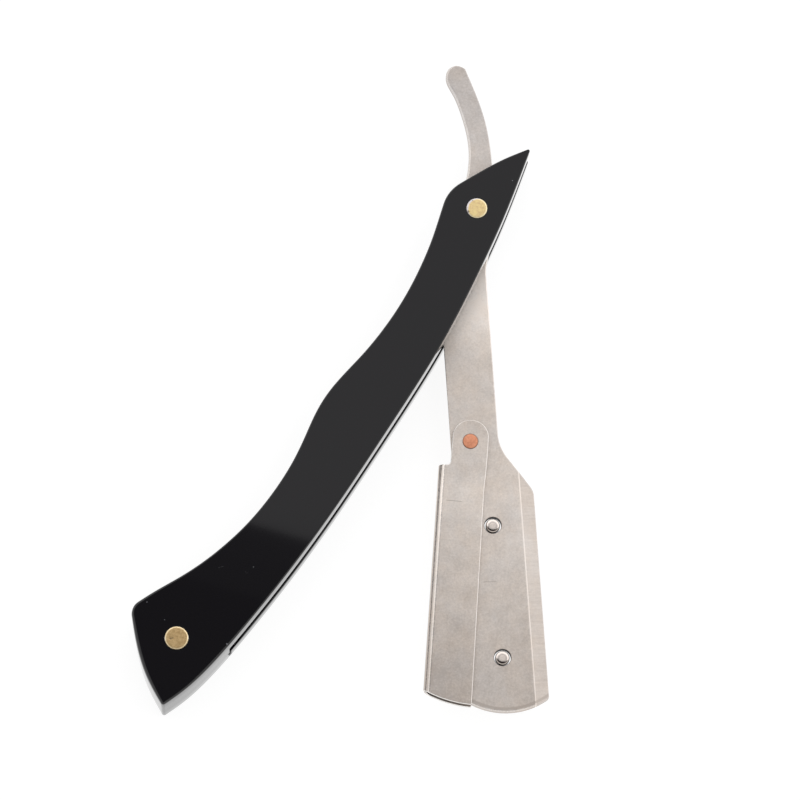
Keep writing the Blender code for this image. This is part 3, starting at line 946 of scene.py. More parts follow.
@dataclass(frozen=True)
class Steel(Finish):
    """Tumbled stainless steel: a fine grain, soft blotches and a few stray scratches, with painted light
    and shade.
    """

    bright: Colour = (0.90, 0.845, 0.805)
    dull: Colour = (0.50, 0.452, 0.420)
    # Colour of rubbed edges, which also paints a highlight along them
    polished: Colour = (0.97, 0.94, 0.91)
    warm: Colour = (1.0, 0.955, 0.905)
    cool: Colour = (0.945, 0.968, 1.0)
    # Colour of the shade painted in holes and inside the fold
    shade_colour: Colour = (0.03, 0.026, 0.024)
    clouds: Noise = Noise(0.055, 3.0, 0.6, effect=Effect(0.36))
    patches: Noise = Noise(0.32, 4.0, 0.6, effect=Effect(0.42, 0.10, 0.4))
    grain: Noise = Noise(2.3, 3.0, 0.8, effect=Effect(0.9, 0.12, 1.0))
    warmth: Noise = Noise(0.14, 5.0, 0.7, (1.0, 0.8, 1.0))
    warmth_range: Flat = (-0.25, 0.25)
    roughness: float = 0.52
    relief: float = 0.000008
    tone: float = 0.42
    # How far rubbed edges go to that colour: wear and a painted highlight
    edge_highlight_and_wear: float = 0.3
    edge_effect: Effect = Effect(rough=-0.25)
    # Painted light and shade along the piece
    light_and_tone_fades: tuple[Fade, ...] = ()
    scratches: tuple[Stroke, ...] = ()
    scratch_effect: Effect = Effect(tone=-1.1, height=-0.8)
    cool_run: Flat | None = None
    ground_from: float | None = None
    ground_fades: tuple[Fade, ...] = ((-74.0, -62.0, -0.16), (-94.0, -84.0, -0.06))
    ground_tone: float = -0.05
    ground_soft: float = 0.15
    ground_effect: Effect = Effect(rough=-0.03)
    ground_marks: Noise = Noise(1.0, 4.0, 0.75, (0.12, 2.6, 1.0), Effect(tone=0.5, height=0.9))
    ground_grain_effect: Effect = Effect(tone=-0.4)
    # A highlight painted along the line where the ground strip begins
    ridge_highlight_reach: Flat = (0.20, 0.05)
    ridge_highlight_effect: Effect = Effect(tone=0.6)
    bend_from: float | None = None
    # A highlight painted on the fold's round, which is also smoother there
    bend_highlight_reach: Flat = (0.06, 0.4)
    bend_highlight_effect: Effect = Effect(tone=0.45, rough=-0.38)
    # A dark reflection painted where the fold turns under
    bend_dark_reflection_reach: Flat = (0.55, 0.85)
    bend_dark_reflection_effect: Effect = Effect(tone=-0.6)
    # Centre and radius of a line of painted shade inside a round end
    foot: tuple[Flat, float] | None = None
    foot_shade_line: Flat = (0.34, 0.08)
    foot_shade_shares: Flat = (0.7, 0.85)
    foot_shade_effect: Effect = Effect(tone=-0.55)

    def faded(self, y: Wire, light_and_tone_fades: tuple[Fade, ...], tone: Wire | float) -> Wire | float:
        """A tone with its changes along the piece, painted light and shade along the arm and the cover.

        Args:
            y: The coordinate along the piece.
            light_and_tone_fades: The changes.
            tone: The tone before them.

        Returns:
            The tone after them.
        """
        for start, end, amount in light_and_tone_fades:
            tone = y.between(start, end) * amount + tone
        return tone

    def add_ground_strip(self, graph: Graph, place: Wire, skin: Skin, grain: Wire) -> None:
        """Fine marks across the ground strip, which is darker, and a painted highlight along the line
        where it begins.

        Args:
            graph: The graph to add to.
            place: The coordinates of the piece.
            skin: What it changes.
            grain: The grain, which the strip loses in part.
        """
        x, y = graph.axis(place, "X"), graph.axis(place, "Y")
        ground = x.between(self.ground_from, self.ground_from + self.ground_soft)
        skin.tone += ground * self.faded(y, self.ground_fades, self.ground_tone)
        skin.add(ground, self.ground_effect)
        skin.add(ground * graph.noise(place, self.ground_marks), self.ground_marks.effect)
        skin.add(ground * grain, self.ground_grain_effect)
        skin.add(abs(x - self.ground_from).between(*self.ridge_highlight_reach), self.ridge_highlight_effect)

    def add_bend(self, x: Wire, skin: Skin) -> None:
        """The fold: a painted highlight and a smoother finish on its round, and a painted dark reflection
        where it turns under.

        Args:
            x: The coordinate across the piece.
            skin: What it changes.
        """
        parts = ((self.bend_highlight_reach, self.bend_highlight_effect), (self.bend_dark_reflection_reach, self.bend_dark_reflection_effect))
        for reaches, effect in parts:
            skin.add(x.between(*(self.bend_from - reach for reach in reaches)), effect)

    def add_foot_shade(self, graph: Graph, place: Wire, skin: Skin) -> None:
        """A line of painted shade inside a round end, on the lowest part of its circle.

        Args:
            graph: The graph to add to.
            place: The coordinates of the piece.
            skin: What it changes.
        """
        centre, reach = self.foot
        line = abs(graph.distance(place, centre) - reach).between(*self.foot_shade_line)
        low = graph.axis(place, "Y").between(*(centre[1] - reach * share for share in self.foot_shade_shares))
        skin.add(line * low, self.foot_shade_effect)

    def paint(self, graph: Graph, place: Wire) -> dict:
        """Blotches of three sizes mix the two tones, edges are rubbed bright with a painted highlight,
        and shade is painted in hollows.

        Args:
            graph: The graph to add to.
            place: The coordinates of the piece.

        Returns:
            Inputs of the surface shader, by name.
        """
        x, y = graph.axis(place, "X"), graph.axis(place, "Y")
        grain = graph.noise(place, self.grain)
        skin = Skin(self.faded(y, self.light_and_tone_fades, self.tone), self.roughness)
        skin.add(grain, self.grain.effect)
        for pattern in (self.clouds, self.patches):
            skin.add(graph.noise(place, pattern), pattern.effect)
        if self.ground_from is not None:
            self.add_ground_strip(graph, place, skin, grain)
        if self.bend_from is not None:
            self.add_bend(x, skin)
        if self.foot is not None:
            self.add_foot_shade(graph, place, skin)
        for scratch in self.scratches:
            skin.add(graph.stroke(place, *scratch), self.scratch_effect)
        # Where the wear value is below 0, shade is painted as a dark non-metal colour
        edge, painted_shade = graph.wear_and_light().most(0.0), graph.painted_shade()
        skin.add(edge, self.edge_effect)
        warmth = graph.noise(place, self.warmth).between(*self.warmth_range)
        colour = graph.blend(skin.tone.held(), self.dull, self.bright)
        colour = graph.blend(warmth, colour, self.warm, "MULTIPLY")
        if self.cool_run is not None:
            colour = graph.blend(y.between(*self.cool_run), colour, self.cool, "MULTIPLY")
        # Rubbed edges lightened: partly wear, partly a painted highlight
        colour = graph.blend(edge * self.edge_highlight_and_wear, colour, self.polished)
        return {
            "Base Color": graph.blend(painted_shade, colour, self.shade_colour),
            "Metallic": 1.0 - painted_shade,
            "Roughness": skin.rough,
            "Normal": graph.bump(skin.height, self.relief),
        }


@dataclass(frozen=True)
class StudSteel(Finish):
    """Bright turned steel, unevenly polished and dimmer near its rim, with a painted dark reflection in a
    crescent and painted shade down its side.
    """

    colour: Colour = (0.895, 0.80, 0.735)
    edge: Colour = (0.70, 0.63, 0.585)
    # Colour of the dark reflection painted in a crescent on the top
    dark_reflection: Colour = (0.07, 0.055, 0.045)
    # Colour of the shade painted down the stud's side
    shade_colour: Colour = (0.035, 0.025, 0.018)
    unevenness: Noise = Noise(1.1, 3.0, effect=Effect(1.0, 0.1, 1.0))
    edge_reach: Flat = (0.46, 0.76)
    reflection_centre: Flat = (0.10, 0.55)
    reflection_reach: Flat = (1.34, 1.56)
    reflection_end: Flat = (1.34, 1.24)
    reflection_strength: float = 0.85
    roughness: float = 0.14
    relief: float = 0.00002

    def paint(self, graph: Graph, place: Wire) -> dict:
        """The painted dark reflection lies past a circle about its own centre and ends short of the rim.

        Args:
            graph: The graph to add to.
            place: The coordinates about the stud's axis.

        Returns:
            Inputs of the surface shader, by name.
        """
        # Shade painted down the stud's side, as a dark non-metal colour
        painted_shade = graph.painted_shade()
        away = graph.distance(place, (0.0, 0.0))
        skin = Skin(away.between(*self.edge_reach), self.roughness)
        skin.add(graph.noise(place, self.unevenness), self.unevenness.effect)
        shade = graph.blend(skin.tone, self.colour, self.edge)
        past = graph.distance(place, self.reflection_centre).between(*self.reflection_reach)
        dark_reflection = past * away.between(*self.reflection_end) * self.reflection_strength
        shade = graph.blend(dark_reflection, shade, self.dark_reflection)
        return {
            "Base Color": graph.blend(painted_shade, shade, self.shade_colour),
            "Metallic": 1.0 - painted_shade,
            "Roughness": skin.rough,
            "Normal": graph.bump(skin.height, self.relief),
        }


@dataclass(frozen=True)
class PinMetal(Finish):
    """Soft metal peened over and filed flush: file marks, dark pits and a rim of another tone."""

    bright: Colour = (0.88, 0.72, 0.36)
    dull: Colour = (0.60, 0.46, 0.20)
    rim: Colour = (0.92, 0.80, 0.52)
    bare: Colour = (0.80, 0.76, 0.76)
    dark: Colour = (0.16, 0.12, 0.08)
    blotches: Noise = Noise(1.6, 4.0, 0.65, effect=Effect(rough=0.15, height=1.0))
    file_marks: Noise = Noise(1.5, 3.0, 0.7, (0.5, 5.0, 0.5), Effect(tone=0.7, height=0.6))
    pit_cells: float = 0.9
    pit_reach: Flat = (0.15, 0.06)
    pit_effect: Effect = Effect(tone=-0.7, height=-1.5)
    roughness: float = 0.45
    relief: float = 0.00001
    radius: float = 2.2
    rim_shares: Flat = (0.80, 0.88)
    rim_effect: Effect = Effect(rough=-0.08)
    rim_cover: float = 0.9
    rim_patchiness: float = 1.5
    tone: float = 0.6
    tarnish: float = 1.1
    bare_past: tuple[Flat, float] | None = None
    bare_soft: float = 0.12
    bare_ragged: float = 0.3
    spots: tuple[Spot, ...] = ()
    spot_core: float = 0.4

    def paint(self, graph: Graph, place: Wire) -> dict:
        """The distance from the axis picks out the rim; pits lie in a few cells of a scattered pattern.

        Past a circle that lies off the axis the plating is bare, and dark spots lie at their own places.

        Args:
            graph: The graph to add to.
            place: The coordinates about the pin's axis.

        Returns:
            Inputs of the surface shader, by name.
        """
        rim_run = (self.radius * share for share in self.rim_shares)
        rim = graph.distance(place, (0.0, 0.0)).between(*rim_run)
        blotch = graph.noise(place, self.blotches)
        skin = Skin(blotch * self.tarnish + self.tone, self.roughness)
        skin.add(blotch, self.blotches.effect)
        skin.add(graph.noise(place, self.file_marks), self.file_marks.effect)
        skin.add(graph.cells(place, self.pit_cells).between(*self.pit_reach), self.pit_effect)
        skin.add(rim, self.rim_effect)
        colour = graph.blend(skin.tone.held(), self.dull, self.bright)
        colour = graph.blend(rim * (blotch * self.rim_patchiness + self.rim_cover), colour, self.rim)
        if self.bare_past is not None:
            centre, reach = self.bare_past
            away = graph.distance(place, centre) + blotch * self.bare_ragged
            colour = graph.blend(away.between(reach, reach + self.bare_soft), colour, self.bare)
        for centre, size, strength in self.spots:
            spot = graph.distance(place, centre).between(size, size * self.spot_core)
            colour = graph.blend(spot * strength, colour, self.dark)
        return {
            "Base Color": colour,
            "Metallic": 1.0,
            "Roughness": skin.rough,
            "Normal": graph.bump(skin.height, self.relief),
        }


# The razor

@dataclass(frozen=True)
class Layers:
    """Thicknesses of the layers, which lie about one middle plane, and the gaps between them."""

    arm: float = 0.0017
    sheet: float = 0.00045
    sheet_gap: float = 0.00025
    slot_clearance: float = 0.00015
    scale: float = 0.0038

    @property
    def cover(self) -> float:
        """Thickness of the folded cover."""
        return self.arm + 2 * (self.sheet_gap + self.sheet)

    @property
    def slot(self) -> float:
        """Width of the slot between the scales."""
        return self.cover + 2 * self.slot_clearance

    @property
    def handle(self) -> float:
        """Thickness of the handle."""
        return self.slot + 2 * self.scale

    @property
    def middle(self) -> float:
        """Height of the middle plane."""
        return self.handle / 2

    def faces(self, thickness: float) -> Flat:
        """Heights of the lower and the upper face of what lies about the middle plane."""
        return self.middle - thickness / 2, self.middle + thickness / 2


def linked(name: str, data: bpy.types.ID) -> bpy.types.Object:
    """Puts a new object in the scene.

    Args:
        name: Its name.
        data: Its mesh, lamp or camera.

    Returns:
        The object.
    """
    made = bpy.data.objects.new(name, data)
    bpy.context.scene.collection.objects.link(made)
    return made


def add_piece(name: str, mesh: bpy.types.Mesh, finish: Finish, body: Body, node: str) -> None:
    """Puts a finished mesh in the scene in place of a CAD node.

    Args:
        name: The piece's name.
        mesh: Its mesh, already in its place.
        finish: Its finish.
        body: The body that it rides on.
        node: The CAD node that it stands for.
    """
    mesh.materials.append(finish.material())
    piece = linked(name, mesh)
    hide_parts(node)
    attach(piece, body.value)
    LOG.info("%s: %d faces, in place of %s", name, len(mesh.polygons), node)


def set_down(mesh: bpy.types.Mesh, place: Place) -> bpy.types.Mesh:
    """Turns and moves a mesh from its own plane to its place on the razor."""
    mesh.transform(Matrix.Translation((*place.origin, 0.0)) @ Matrix.Rotation(place.turn, 4, "Z"))
    return mesh


@dataclass
class Handle:
    """Two black scales, the wedge between them at the butt, two brass pins and two washers."""

    layers: Layers
    front_of_wedge: float
    belly_reach: float = 0.01126
    wedge_land: float = 0.0044
    wedge_tilt: float = math.radians(5.6)
    shoulder_radius: float = 0.0082
    nose_radius: float = 0.00035
    heel_radius: float = 0.0030
    toe_radius: float = 0.0006
    rim: float = 0.00030
    nose_rim: float = 0.00014
    butt_rim: float = 0.00020
    butt_bulge: float = 0.00022
    butt_depth: float = 0.00060
    butt_reach: float = 0.0012
    butt_run_shares: Flat = (0.86, 1.02)
    nose_run: Flat = (0.0003, 0.0035)
    slot_rim: float = 0.00022
    slot_taper: float = 0.0060
    pivot_radius: float = 0.00215
    wedge_pin_radius: float = 0.00236
    pin_seat: float = 0.00008
    pin_dome: float = 0.00004
    pin_lip: float = 0.00006
    pin_shares: tuple[float, ...] = (
        0.0, 0.12, 0.24, 0.36, 0.48, 0.6, 0.7, 0.79, 0.86, 0.92, 0.96, 0.985, 1.0,
    )
    pin_rubbed_share: float = 0.9
    pivot_dents: tuple[Spot, ...] = (
        ((-0.0022, -0.0002), 0.0007, 0.00007), ((-0.0019, -0.0013), 0.0003, 0.00005),
    )
    wedge_dents: tuple[Spot, ...] = (
        ((-0.0010, -0.0008), 0.0003, 0.00003), ((0.0004, 0.0012), 0.0006, 0.000015),
    )
    file_turn: float = 0.5
    hole_bevel: float = 0.00005
    wedge_gap: float = 0.000005
    washer_rim: float = 0.0018
    washer_play: float = 0.00015
    washer_edge: float = 0.00005
    dust_specks: tuple[Spot, ...] = (
        ((2.85, 9.27), 0.16, 3.0), ((4.65, -90.27), 0.16, 0.9), ((-9.21, -108.49), 0.18, 0.9),
        ((-4.15, -109.54), 0.15, 0.8), ((9.23, -106.64), 0.22, 3.0),
    )
    dust_hairs: tuple[Stroke, ...] = (
        ((3.75, -91.9), (4.2, -92.2), 0.09), ((4.2, -92.2), (4.4, -91.8), 0.09),
        ((-1.24, -94.49), (-0.46, -93.46), 0.06),
    )
    slope_shares: Shares = ((0.188, 0.1570), (-0.080, 0.1163), (-0.351, 0.0633), (-0.640, -0.0015))
    back_shares: Shares = (
        (-0.640, -0.0015), (-0.497, -0.05), (-0.356, -0.10), (-0.251, -0.15), (-0.179, -0.20),
        (-0.143, -0.25), (-0.144, -0.30), (-0.191, -0.36), (-0.275, -0.42), (-0.304, -0.46),
        (-0.280, -0.50), (-0.192, -0.55), (-0.114, -0.60), (-0.083, -0.65), (-0.093, -0.70),
        (-0.145, -0.75), (-0.245, -0.80), (-0.389, -0.85), (-0.586, -0.90), (-0.822, -0.95),
        (-1.021, -0.9985),
    )
    butt_shares: Shares = ((-1.021, -0.9985), (-0.597, -1.0442), (-0.051, -1.0894), (0.492, -1.1187))
    belly_shares: Shares = (
        (0.492, -1.1187), (0.652, -1.074), (0.807, -1.0), (0.911, -0.9), (1.001, -0.75), (1.021, -0.6),
        (0.992, -0.45), (0.938, -0.3), (0.850, -0.2), (0.711, -0.1), (0.543, 0.0), (0.384, 0.075),
        (0.188, 0.1570),
    )

    @property
    def pin_spacing(self) -> float:
        """From the pivot pin to the wedge pin."""
        return self.front_of_wedge + self.wedge_land

    def past_wedge(self, places: np.ndarray) -> np.ndarray:
        """How far places lie past the wedge's front, which is tilted a little."""
        return places @ (math.sin(self.wedge_tilt), -math.cos(self.wedge_tilt)) - self.front_of_wedge

    def outline(self) -> np.ndarray:
        """Outline of a scale: slope to the shoulder, waisted back, butt and full belly.

        Returns:
            The outline, with a point wherever it crosses the wedge's front.
        """
        groups = (self.slope_shares, self.back_shares, self.butt_shares, self.belly_shares)
        runs = [smooth_run(scaled(shares, self.belly_reach, self.pin_spacing)) for shares in groups]
        radii = (self.shoulder_radius, self.heel_radius, self.toe_radius, self.nose_radius)
        loop = rounded_loop(runs, radii)
        return crossed(loop, self.past_wedge(loop))[0]

    def face_rim(self, outline: np.ndarray) -> Rim:
        """The rim of a scale's face: fine at the nose, broad and soft round the butt.

        Along the butt, with t running from 0 at the heel to 1 at the toe, the inset grows with 4t(1 - t)
        and the depth with its square root.

        Args:
            outline: The outline of the scale.

        Returns:
            The rim, with a value for each point.
        """
        corners = (self.butt_shares[0], self.butt_shares[-1], self.slope_shares[0])
        heel, toe, nose = scaled(corners, self.belly_reach, self.pin_spacing)
        chord = toe - heel
        t = (outline - heel) @ chord / (chord @ chord)
        beside = np.abs((outline - heel) @ (chord[1], -chord[0])) / np.linalg.norm(chord)
        swell = np.clip(4 * t * (1 - t), 0, 1) * smoothstep(beside, 2 * self.butt_reach, self.butt_reach)
        far = smoothstep(np.linalg.norm(outline - nose, axis=1), *self.nose_run)
        edge = self.nose_rim + (self.rim - self.nose_rim) * far
        edge += self.butt_rim * smoothstep(-outline[:, 1] / self.pin_spacing, *self.butt_run_shares)
        return Rim(edge + self.butt_bulge * swell, edge + self.butt_depth * np.sqrt(swell))

    def pin_hole(self, radius: float, along: float) -> Hole:
        """The hole for a pin, a little wider than the pin."""
        return Hole((0.0, -along), radius + self.pin_seat, self.hole_bevel)

    def build_scales(self) -> None:
        """The two scales; the rear one's edge at the slot is eased, and sharpens towards the wedge."""
        outline = self.outline()
        easing = smoothstep(-self.past_wedge(outline), 0.0, self.slot_taper)
        eased, broad = Rim.even(self.slot_rim * easing), self.face_rim(outline)
        pins = ((self.pivot_radius, 0.0), (self.wedge_pin_radius, self.pin_spacing))
        holes = tuple(self.pin_hole(radius, along) for radius, along in pins)
        thickness, top = self.layers.scale, self.layers.handle
        scales = (
            ("scale_front", "front_scale", Plate(outline, top - thickness, top, broad, Rim(), holes)),
            ("scale_rear", "rear_scale", Plate(outline, 0.0, thickness, eased, broad, holes)),
        )
        for name, node, plate in scales:
            finish = BlackPlastic(name + "_plastic", specks=self.dust_specks, hairs=self.dust_hairs)
            add_piece(name, plate.surface().mesh(name), finish, Body.HANDLE, node)

    def build_wedge(self) -> None:
        """The spacer at the butt, flush with the scales: their outline, past the wedge's front."""
        outline = self.outline()
        loop = outline[self.past_wedge(outline) > -WELD]
        low, high = self.layers.faces(self.layers.slot - 2 * self.wedge_gap)
        hole = self.pin_hole(self.wedge_pin_radius, self.pin_spacing)
        mesh = Plate(loop, low, high, Rim(), Rim(), (hole,)).surface().mesh("wedge")
        finish = BlackPlastic("wedge_plastic")
        add_piece("wedge", mesh, finish, Body.HANDLE, "wedge_spacer")

    def pin(self, radius: float, along: float, dents: tuple[Spot, ...]) -> Surface:
        """A pin with two low domed heads.

        Each dent takes away its depth times exp(-d²), with d the distance from its centre in widths.

        Args:
            radius: The pin's radius.
            along: Where it stands, along the handle.
            dents: The centre, width and depth of each dent in the front head.

        Returns:
            The surface.
        """
        bar = Bar(radius, 0.0, self.layers.handle, self.pin_dome, self.pin_lip, self.pin_shares)
        rings = bar.rings(PIN_SIDES, (0.0, -along))
        head = rings[: len(self.pin_shares)]
        for (x, y), width, depth in dents:
            away = ((head[..., 0] - x) ** 2 + (head[..., 1] + along - y) ** 2) / width ** 2
            head[..., 2] -= depth * np.exp(-away)
        rubbed = np.array(self.pin_shares) > self.pin_rubbed_share
        made = Surface()
        made.grid(rings, np.concatenate((rubbed, rubbed[::-1])).astype(float))
        return made

    def build_pins(self) -> None:
        """The pivot pin, nicked at one side of its head, and the wedge pin with a small dent."""
        pivot_finish = PinMetal(
            "pin_pivot_brass",
            Place((0.0, 0.0), self.file_turn),
            bright=(0.89, 0.72, 0.36),
            dull=(0.66, 0.45, 0.25),
            rim=(0.92, 0.81, 0.54),
            bare=(0.70, 0.66, 0.66),
            radius=self.pivot_radius / MM,
            rim_shares=(0.84, 0.95),
            tone=0.7,
            tarnish=2.64,
            bare_past=((0.46, -0.22), 2.20),
            spots=(((-1.70, -0.95), 0.32, 0.7), ((-1.05, 1.55), 0.16, 0.7)),
        )
        wedge_finish = PinMetal(
            "pin_wedge_brass",
            Place((0.0, -self.pin_spacing), self.file_turn),
            bright=(0.75, 0.55, 0.29),
            dull=(0.47, 0.31, 0.14),
            rim=(0.86, 0.70, 0.44),
            radius=self.wedge_pin_radius / MM,
            rim_shares=(0.87, 0.93),
            tone=0.42,
            tarnish=1.98,
            spots=(((-1.15, -0.30), 0.30, 0.7), ((-0.75, -0.10), 0.2, 0.7)),
        )
        pivot = self.pin(self.pivot_radius, 0.0, self.pivot_dents)
        wedge = self.pin(self.wedge_pin_radius, self.pin_spacing, self.wedge_dents)
        pins = (
            ("pin_pivot", "pivot_pin", pivot, pivot_finish),
            ("pin_wedge", "wedge_pin", wedge, wedge_finish),
        )
        for name, node, surface, finish in pins:
            add_piece(name, surface.mesh(name), finish, Body.HANDLE, node)

    def build_washers(self) -> None:
        """A flat ring in the gap on each side of the arm, its four edges broken."""
        thickness = (self.layers.slot - self.layers.arm) / 2 - 2 * self.washer_play
        inner, outer = self.pivot_radius + self.pin_seat, self.pivot_radius + self.washer_rim
        edge = self.washer_edge
        washers = (
            ("washer_rear", "rear_pivot_washer", self.layers.faces(self.layers.slot)[0]),
            ("washer_front", "front_pivot_washer", self.layers.faces(self.layers.arm)[1]),
        )
        for name, node, face in washers:
            low, high = face + self.washer_play, face + self.washer_play + thickness
            section = np.array((
                (inner, low + edge), (inner, high - edge), (inner + edge, high), (outer - edge, high),
                (outer, high - edge), (outer, low + edge), (outer - edge, low), (inner + edge, low),
                (inner, low + edge),
            ))
            made = Surface()
            made.grid(turned(section[:, 0], section[:, 1], HOLE_SIDES))
            finish = PinMetal(name + "_brass", radius=outer / MM, rim_shares=(0.98, 1.0))
            add_piece(name, made.mesh(name), finish, Body.HANDLE, node)

    def build(self) -> None:
        """All seven pieces."""
        self.build_scales()
        self.build_wedge()
        self.build_pins()
        self.build_washers()


@dataclass
class Arm:
    """The steel arm and the two studs of its blade seat, in the arm's own plane about the pivot."""

    layers: Layers
    open_angle: float = math.radians(37.3)
    lean: float = 0.00017
    shank_width: float = 0.00987
    shank_offset: float = 0.0088
    shank_length: float = 0.0508
    shank_blend: float = 0.0150
    shoulder_run: float = 0.0096
    seat_width: float = 0.01659
    seat_end_radius: float = 0.0150
    shoulder_fillet: float = 0.0095
    shoulder_corner: float = 0.0035
    seat_corner: float = 0.0008
    tail_length: float = 0.0336
    tail_reach: float = 0.0043
    tail_corner: float = 0.0005
    grind_width: float = 0.00285
    grind_depth: float = 0.0006
    stud_spacing: float = 0.0280
    stud_below_shoulder: float = 0.0070
    stud_above_end: float = 0.0112
    stud_from_edge: float = 0.00895
    stud_radius: float = 0.0016
    stud_clearance: float = 0.00015
    stud_rise: float = 0.00018
    stud_drop: float = 0.00030
    stud_slack: float = 0.00012
    stud_lean: float = 0.075
    stud_shift: Flat = (-0.00003, -0.00009)
    stud_seat_bevel: float = 0.00012
    pivot_bore: float = 0.00229
    rivet_bore: float = 0.00165
    rivet_from_edge: float = 0.0042
    rivet_above_shoulder: float = 0.0014
    edge_round: float = 0.00018
    left_round: float = 0.00006
    tail_round: float = 0.00050
    end_round: float = 0.00040
    ground_round: float = 0.00012
    end_overrun: float = 0.00022
    left_facing: Flat = (0.1, 0.6)
    end_facing: Flat = (0.6, 0.9)
    tail_run: Flat = (0.0, 0.008)
    # How far inside the round end the line of painted shade lies, in rounds of its rim
    foot_shade_rounds: float = 1.7
    # Shade painted on the walls of the stud holes and down the studs' sides, and where it starts on a
    # stud's top
    stud_painted_shade: float = 1.0
    stud_painted_shade_run: Flat = (0.985, 1.0)
    bevel: float = 0.00012
    scratches: tuple[Stroke, ...] = (((-4.05, -79.33), (-1.17, -79.41), 0.11),)
    # Painted light and shade along the arm: lighter on the shank beside the handle, against the handle's
    # shade, darker at the tail and towards the foot
    light_and_tone_fades: tuple[Fade, ...] = (
        (-33.0, -20.0, 0.6), (-16.0, 5.0, -0.75), (4.0, 12.0, 0.06), (14.0, 30.0, -0.12),
        (-80.0, -72.0, 0.05), (-58.0, -52.0, -0.05), (-72.0, -105.0, -0.14),
    )
    cool_run: Flat = (1.0, 12.0)
    tail_right_shares: Shares = (
        (-0.035, 0.974), (0.221, 0.875), (0.488, 0.765), (0.686, 0.664), (0.826, 0.560),
        (0.914, 0.432), (0.953, 0.268), (0.988, 0.089), (0.860, -0.089), (0.488, -0.250),
        (0.272, -0.357),
    )
    tang_left_shares: Shares = (
        (-0.972, -0.536), (-0.864, -0.313), (-0.682, -0.119), (-0.477, 0.048), (-0.246, 0.196),
    )
    tail_left_shares: Shares = (
        (-0.233, 0.327), (-0.144, 0.446), (-0.221, 0.571), (-0.430, 0.699), (-0.721, 0.815),
        (-0.985, 0.895), (-1.000, 0.945), (-0.802, 0.987), (-0.488, 1.000),
    )
    tail_tip_shares: Shares = ((-0.488, 1.000), (-0.267, 0.993), (-0.035, 0.974))

    @property
    def place(self) -> Place:
        """The arm turns about the origin."""
        return Place((0.0, 0.0), self.open_angle)

    @property
    def shank_left(self) -> float:
        """Left edge of the shank."""
        return self.lean - self.shank_offset

    @property
    def shank_right(self) -> float:
        """Right edge of the shank."""
        return self.shank_left + self.shank_width

    @property
    def seat_right(self) -> float:
        """Right edge of the seat."""
        return self.seat_width - self.shank_offset

    @property
    def seat_top(self) -> float:
        """Where the seat's right edge begins."""
        return self.shank_length + self.shoulder_run

    @property
    def stud_places(self) -> tuple[float, float]:
        """How far down the arm the two studs stand."""
        first = self.seat_top + self.stud_below_shoulder
        return first, first + self.stud_spacing

    @property
    def seat_length(self) -> float:
        """Where the seat ends."""
        return self.stud_places[1] + self.stud_above_end

    @property
    def foot_centre(self) -> Flat:
        """Centre of the seat's round end."""
        middle = (self.seat_right + self.shank_left) / 2
        return middle, self.seat_end_radius - self.seat_length - self.end_overrun

    @property
    def foot_shade_line(self) -> tuple[Flat, float]:
        """Centre and radius, in millimetres, of the line of painted shade inside the seat's round end."""
        x, y = self.foot_centre
        return (x / MM, y / MM), (self.seat_end_radius - self.end_round * self.foot_shade_rounds) / MM

    @property
    def rivet(self) -> Flat:
        """Place of the cover's rivet in the arm's plane."""
        return self.rivet_from_edge - self.shank_offset, self.rivet_above_shoulder - self.shank_length

    @property
    def stud_line(self) -> float:
        """Where the studs stand across the arm."""
        return self.seat_right - self.stud_from_edge

    @property
    def grind_line(self) -> float:
        """Where the ground strip begins."""
        return self.seat_right - self.grind_width

    def outline(self) -> np.ndarray:
        """Outline about the pivot, with the arm along -Y.

        Returns:
            The outline, from the tail down the right side and up the left.
        """
        tail = (self.tail_reach, self.tail_length)
        lean = (self.lean, 0.0)
        right_end = (self.shank_right, -self.shank_blend)
        right = smooth_run(np.vstack([scaled(self.tail_right_shares, *tail) + lean, right_end]))
        left = smooth_run(
            np.vstack([
                (self.shank_left, -self.shank_blend * 2),
                scaled(self.tang_left_shares, self.shank_offset, self.tail_length) + lean,
                scaled(self.tail_left_shares, *tail) + lean,
            ])
        )
        tip = smooth_run(scaled(self.tail_tip_shares, *tail) + lean)
        middle = self.foot_centre[0]
        sides = (self.seat_right, self.shank_left)
        angles = [-math.acos((side - middle) / self.seat_end_radius) for side in sides]
        lower = arc(self.foot_centre, self.seat_end_radius, *angles, ARC_STEPS)
        shoulder = np.array([(self.shank_right, -self.shank_length), (self.seat_right, -self.seat_top)])
        runs = [
            right,
            np.array([right[-1], shoulder[0]]),
            shoulder,
            np.array([shoulder[1], lower[0]]),
            lower,
            np.array([lower[-1], left[0]]),
            left,
            tip,
        ]
        corners = (self.shoulder_fillet, self.shoulder_corner, self.seat_corner, self.seat_corner)
        return rounded_loop(runs, (0, *corners, 0, 0, self.tail_corner))

    def rim(self, outline: np.ndarray) -> Rim:
        """The front rim: fine on the left and along the ground strip, broad at the tail and the foot.

        Args:
            outline: The outline of the arm.

        Returns:
            The rim, with a value for each point.
        """
        facing = outward(outline)
        x, y = outline.T
        left = smoothstep(-facing[:, 0], *self.left_facing)
        tail = smoothstep(y, *self.tail_run) * left
        end = smoothstep(-facing[:, 1], *self.end_facing) * (y < -self.stud_places[1])
        ground = smoothstep(x, self.grind_line - 2 * self.edge_round, self.grind_line + self.edge_round)
        radius = self.edge_round + (self.left_round - self.edge_round) * left
        radius += (self.tail_round - self.left_round) * tail
        radius += (self.end_round - self.edge_round) * end
        radius += (self.ground_round - radius) * ground * (y < -self.seat_top)
        return Rim.even(radius)

    def relief(self, places: np.ndarray) -> np.ndarray:
        """How far the grind takes the front face down: in proportion to the distance past its line."""
        return self.grind_depth * np.maximum(0, places[:, 0] - self.grind_line) / self.grind_width

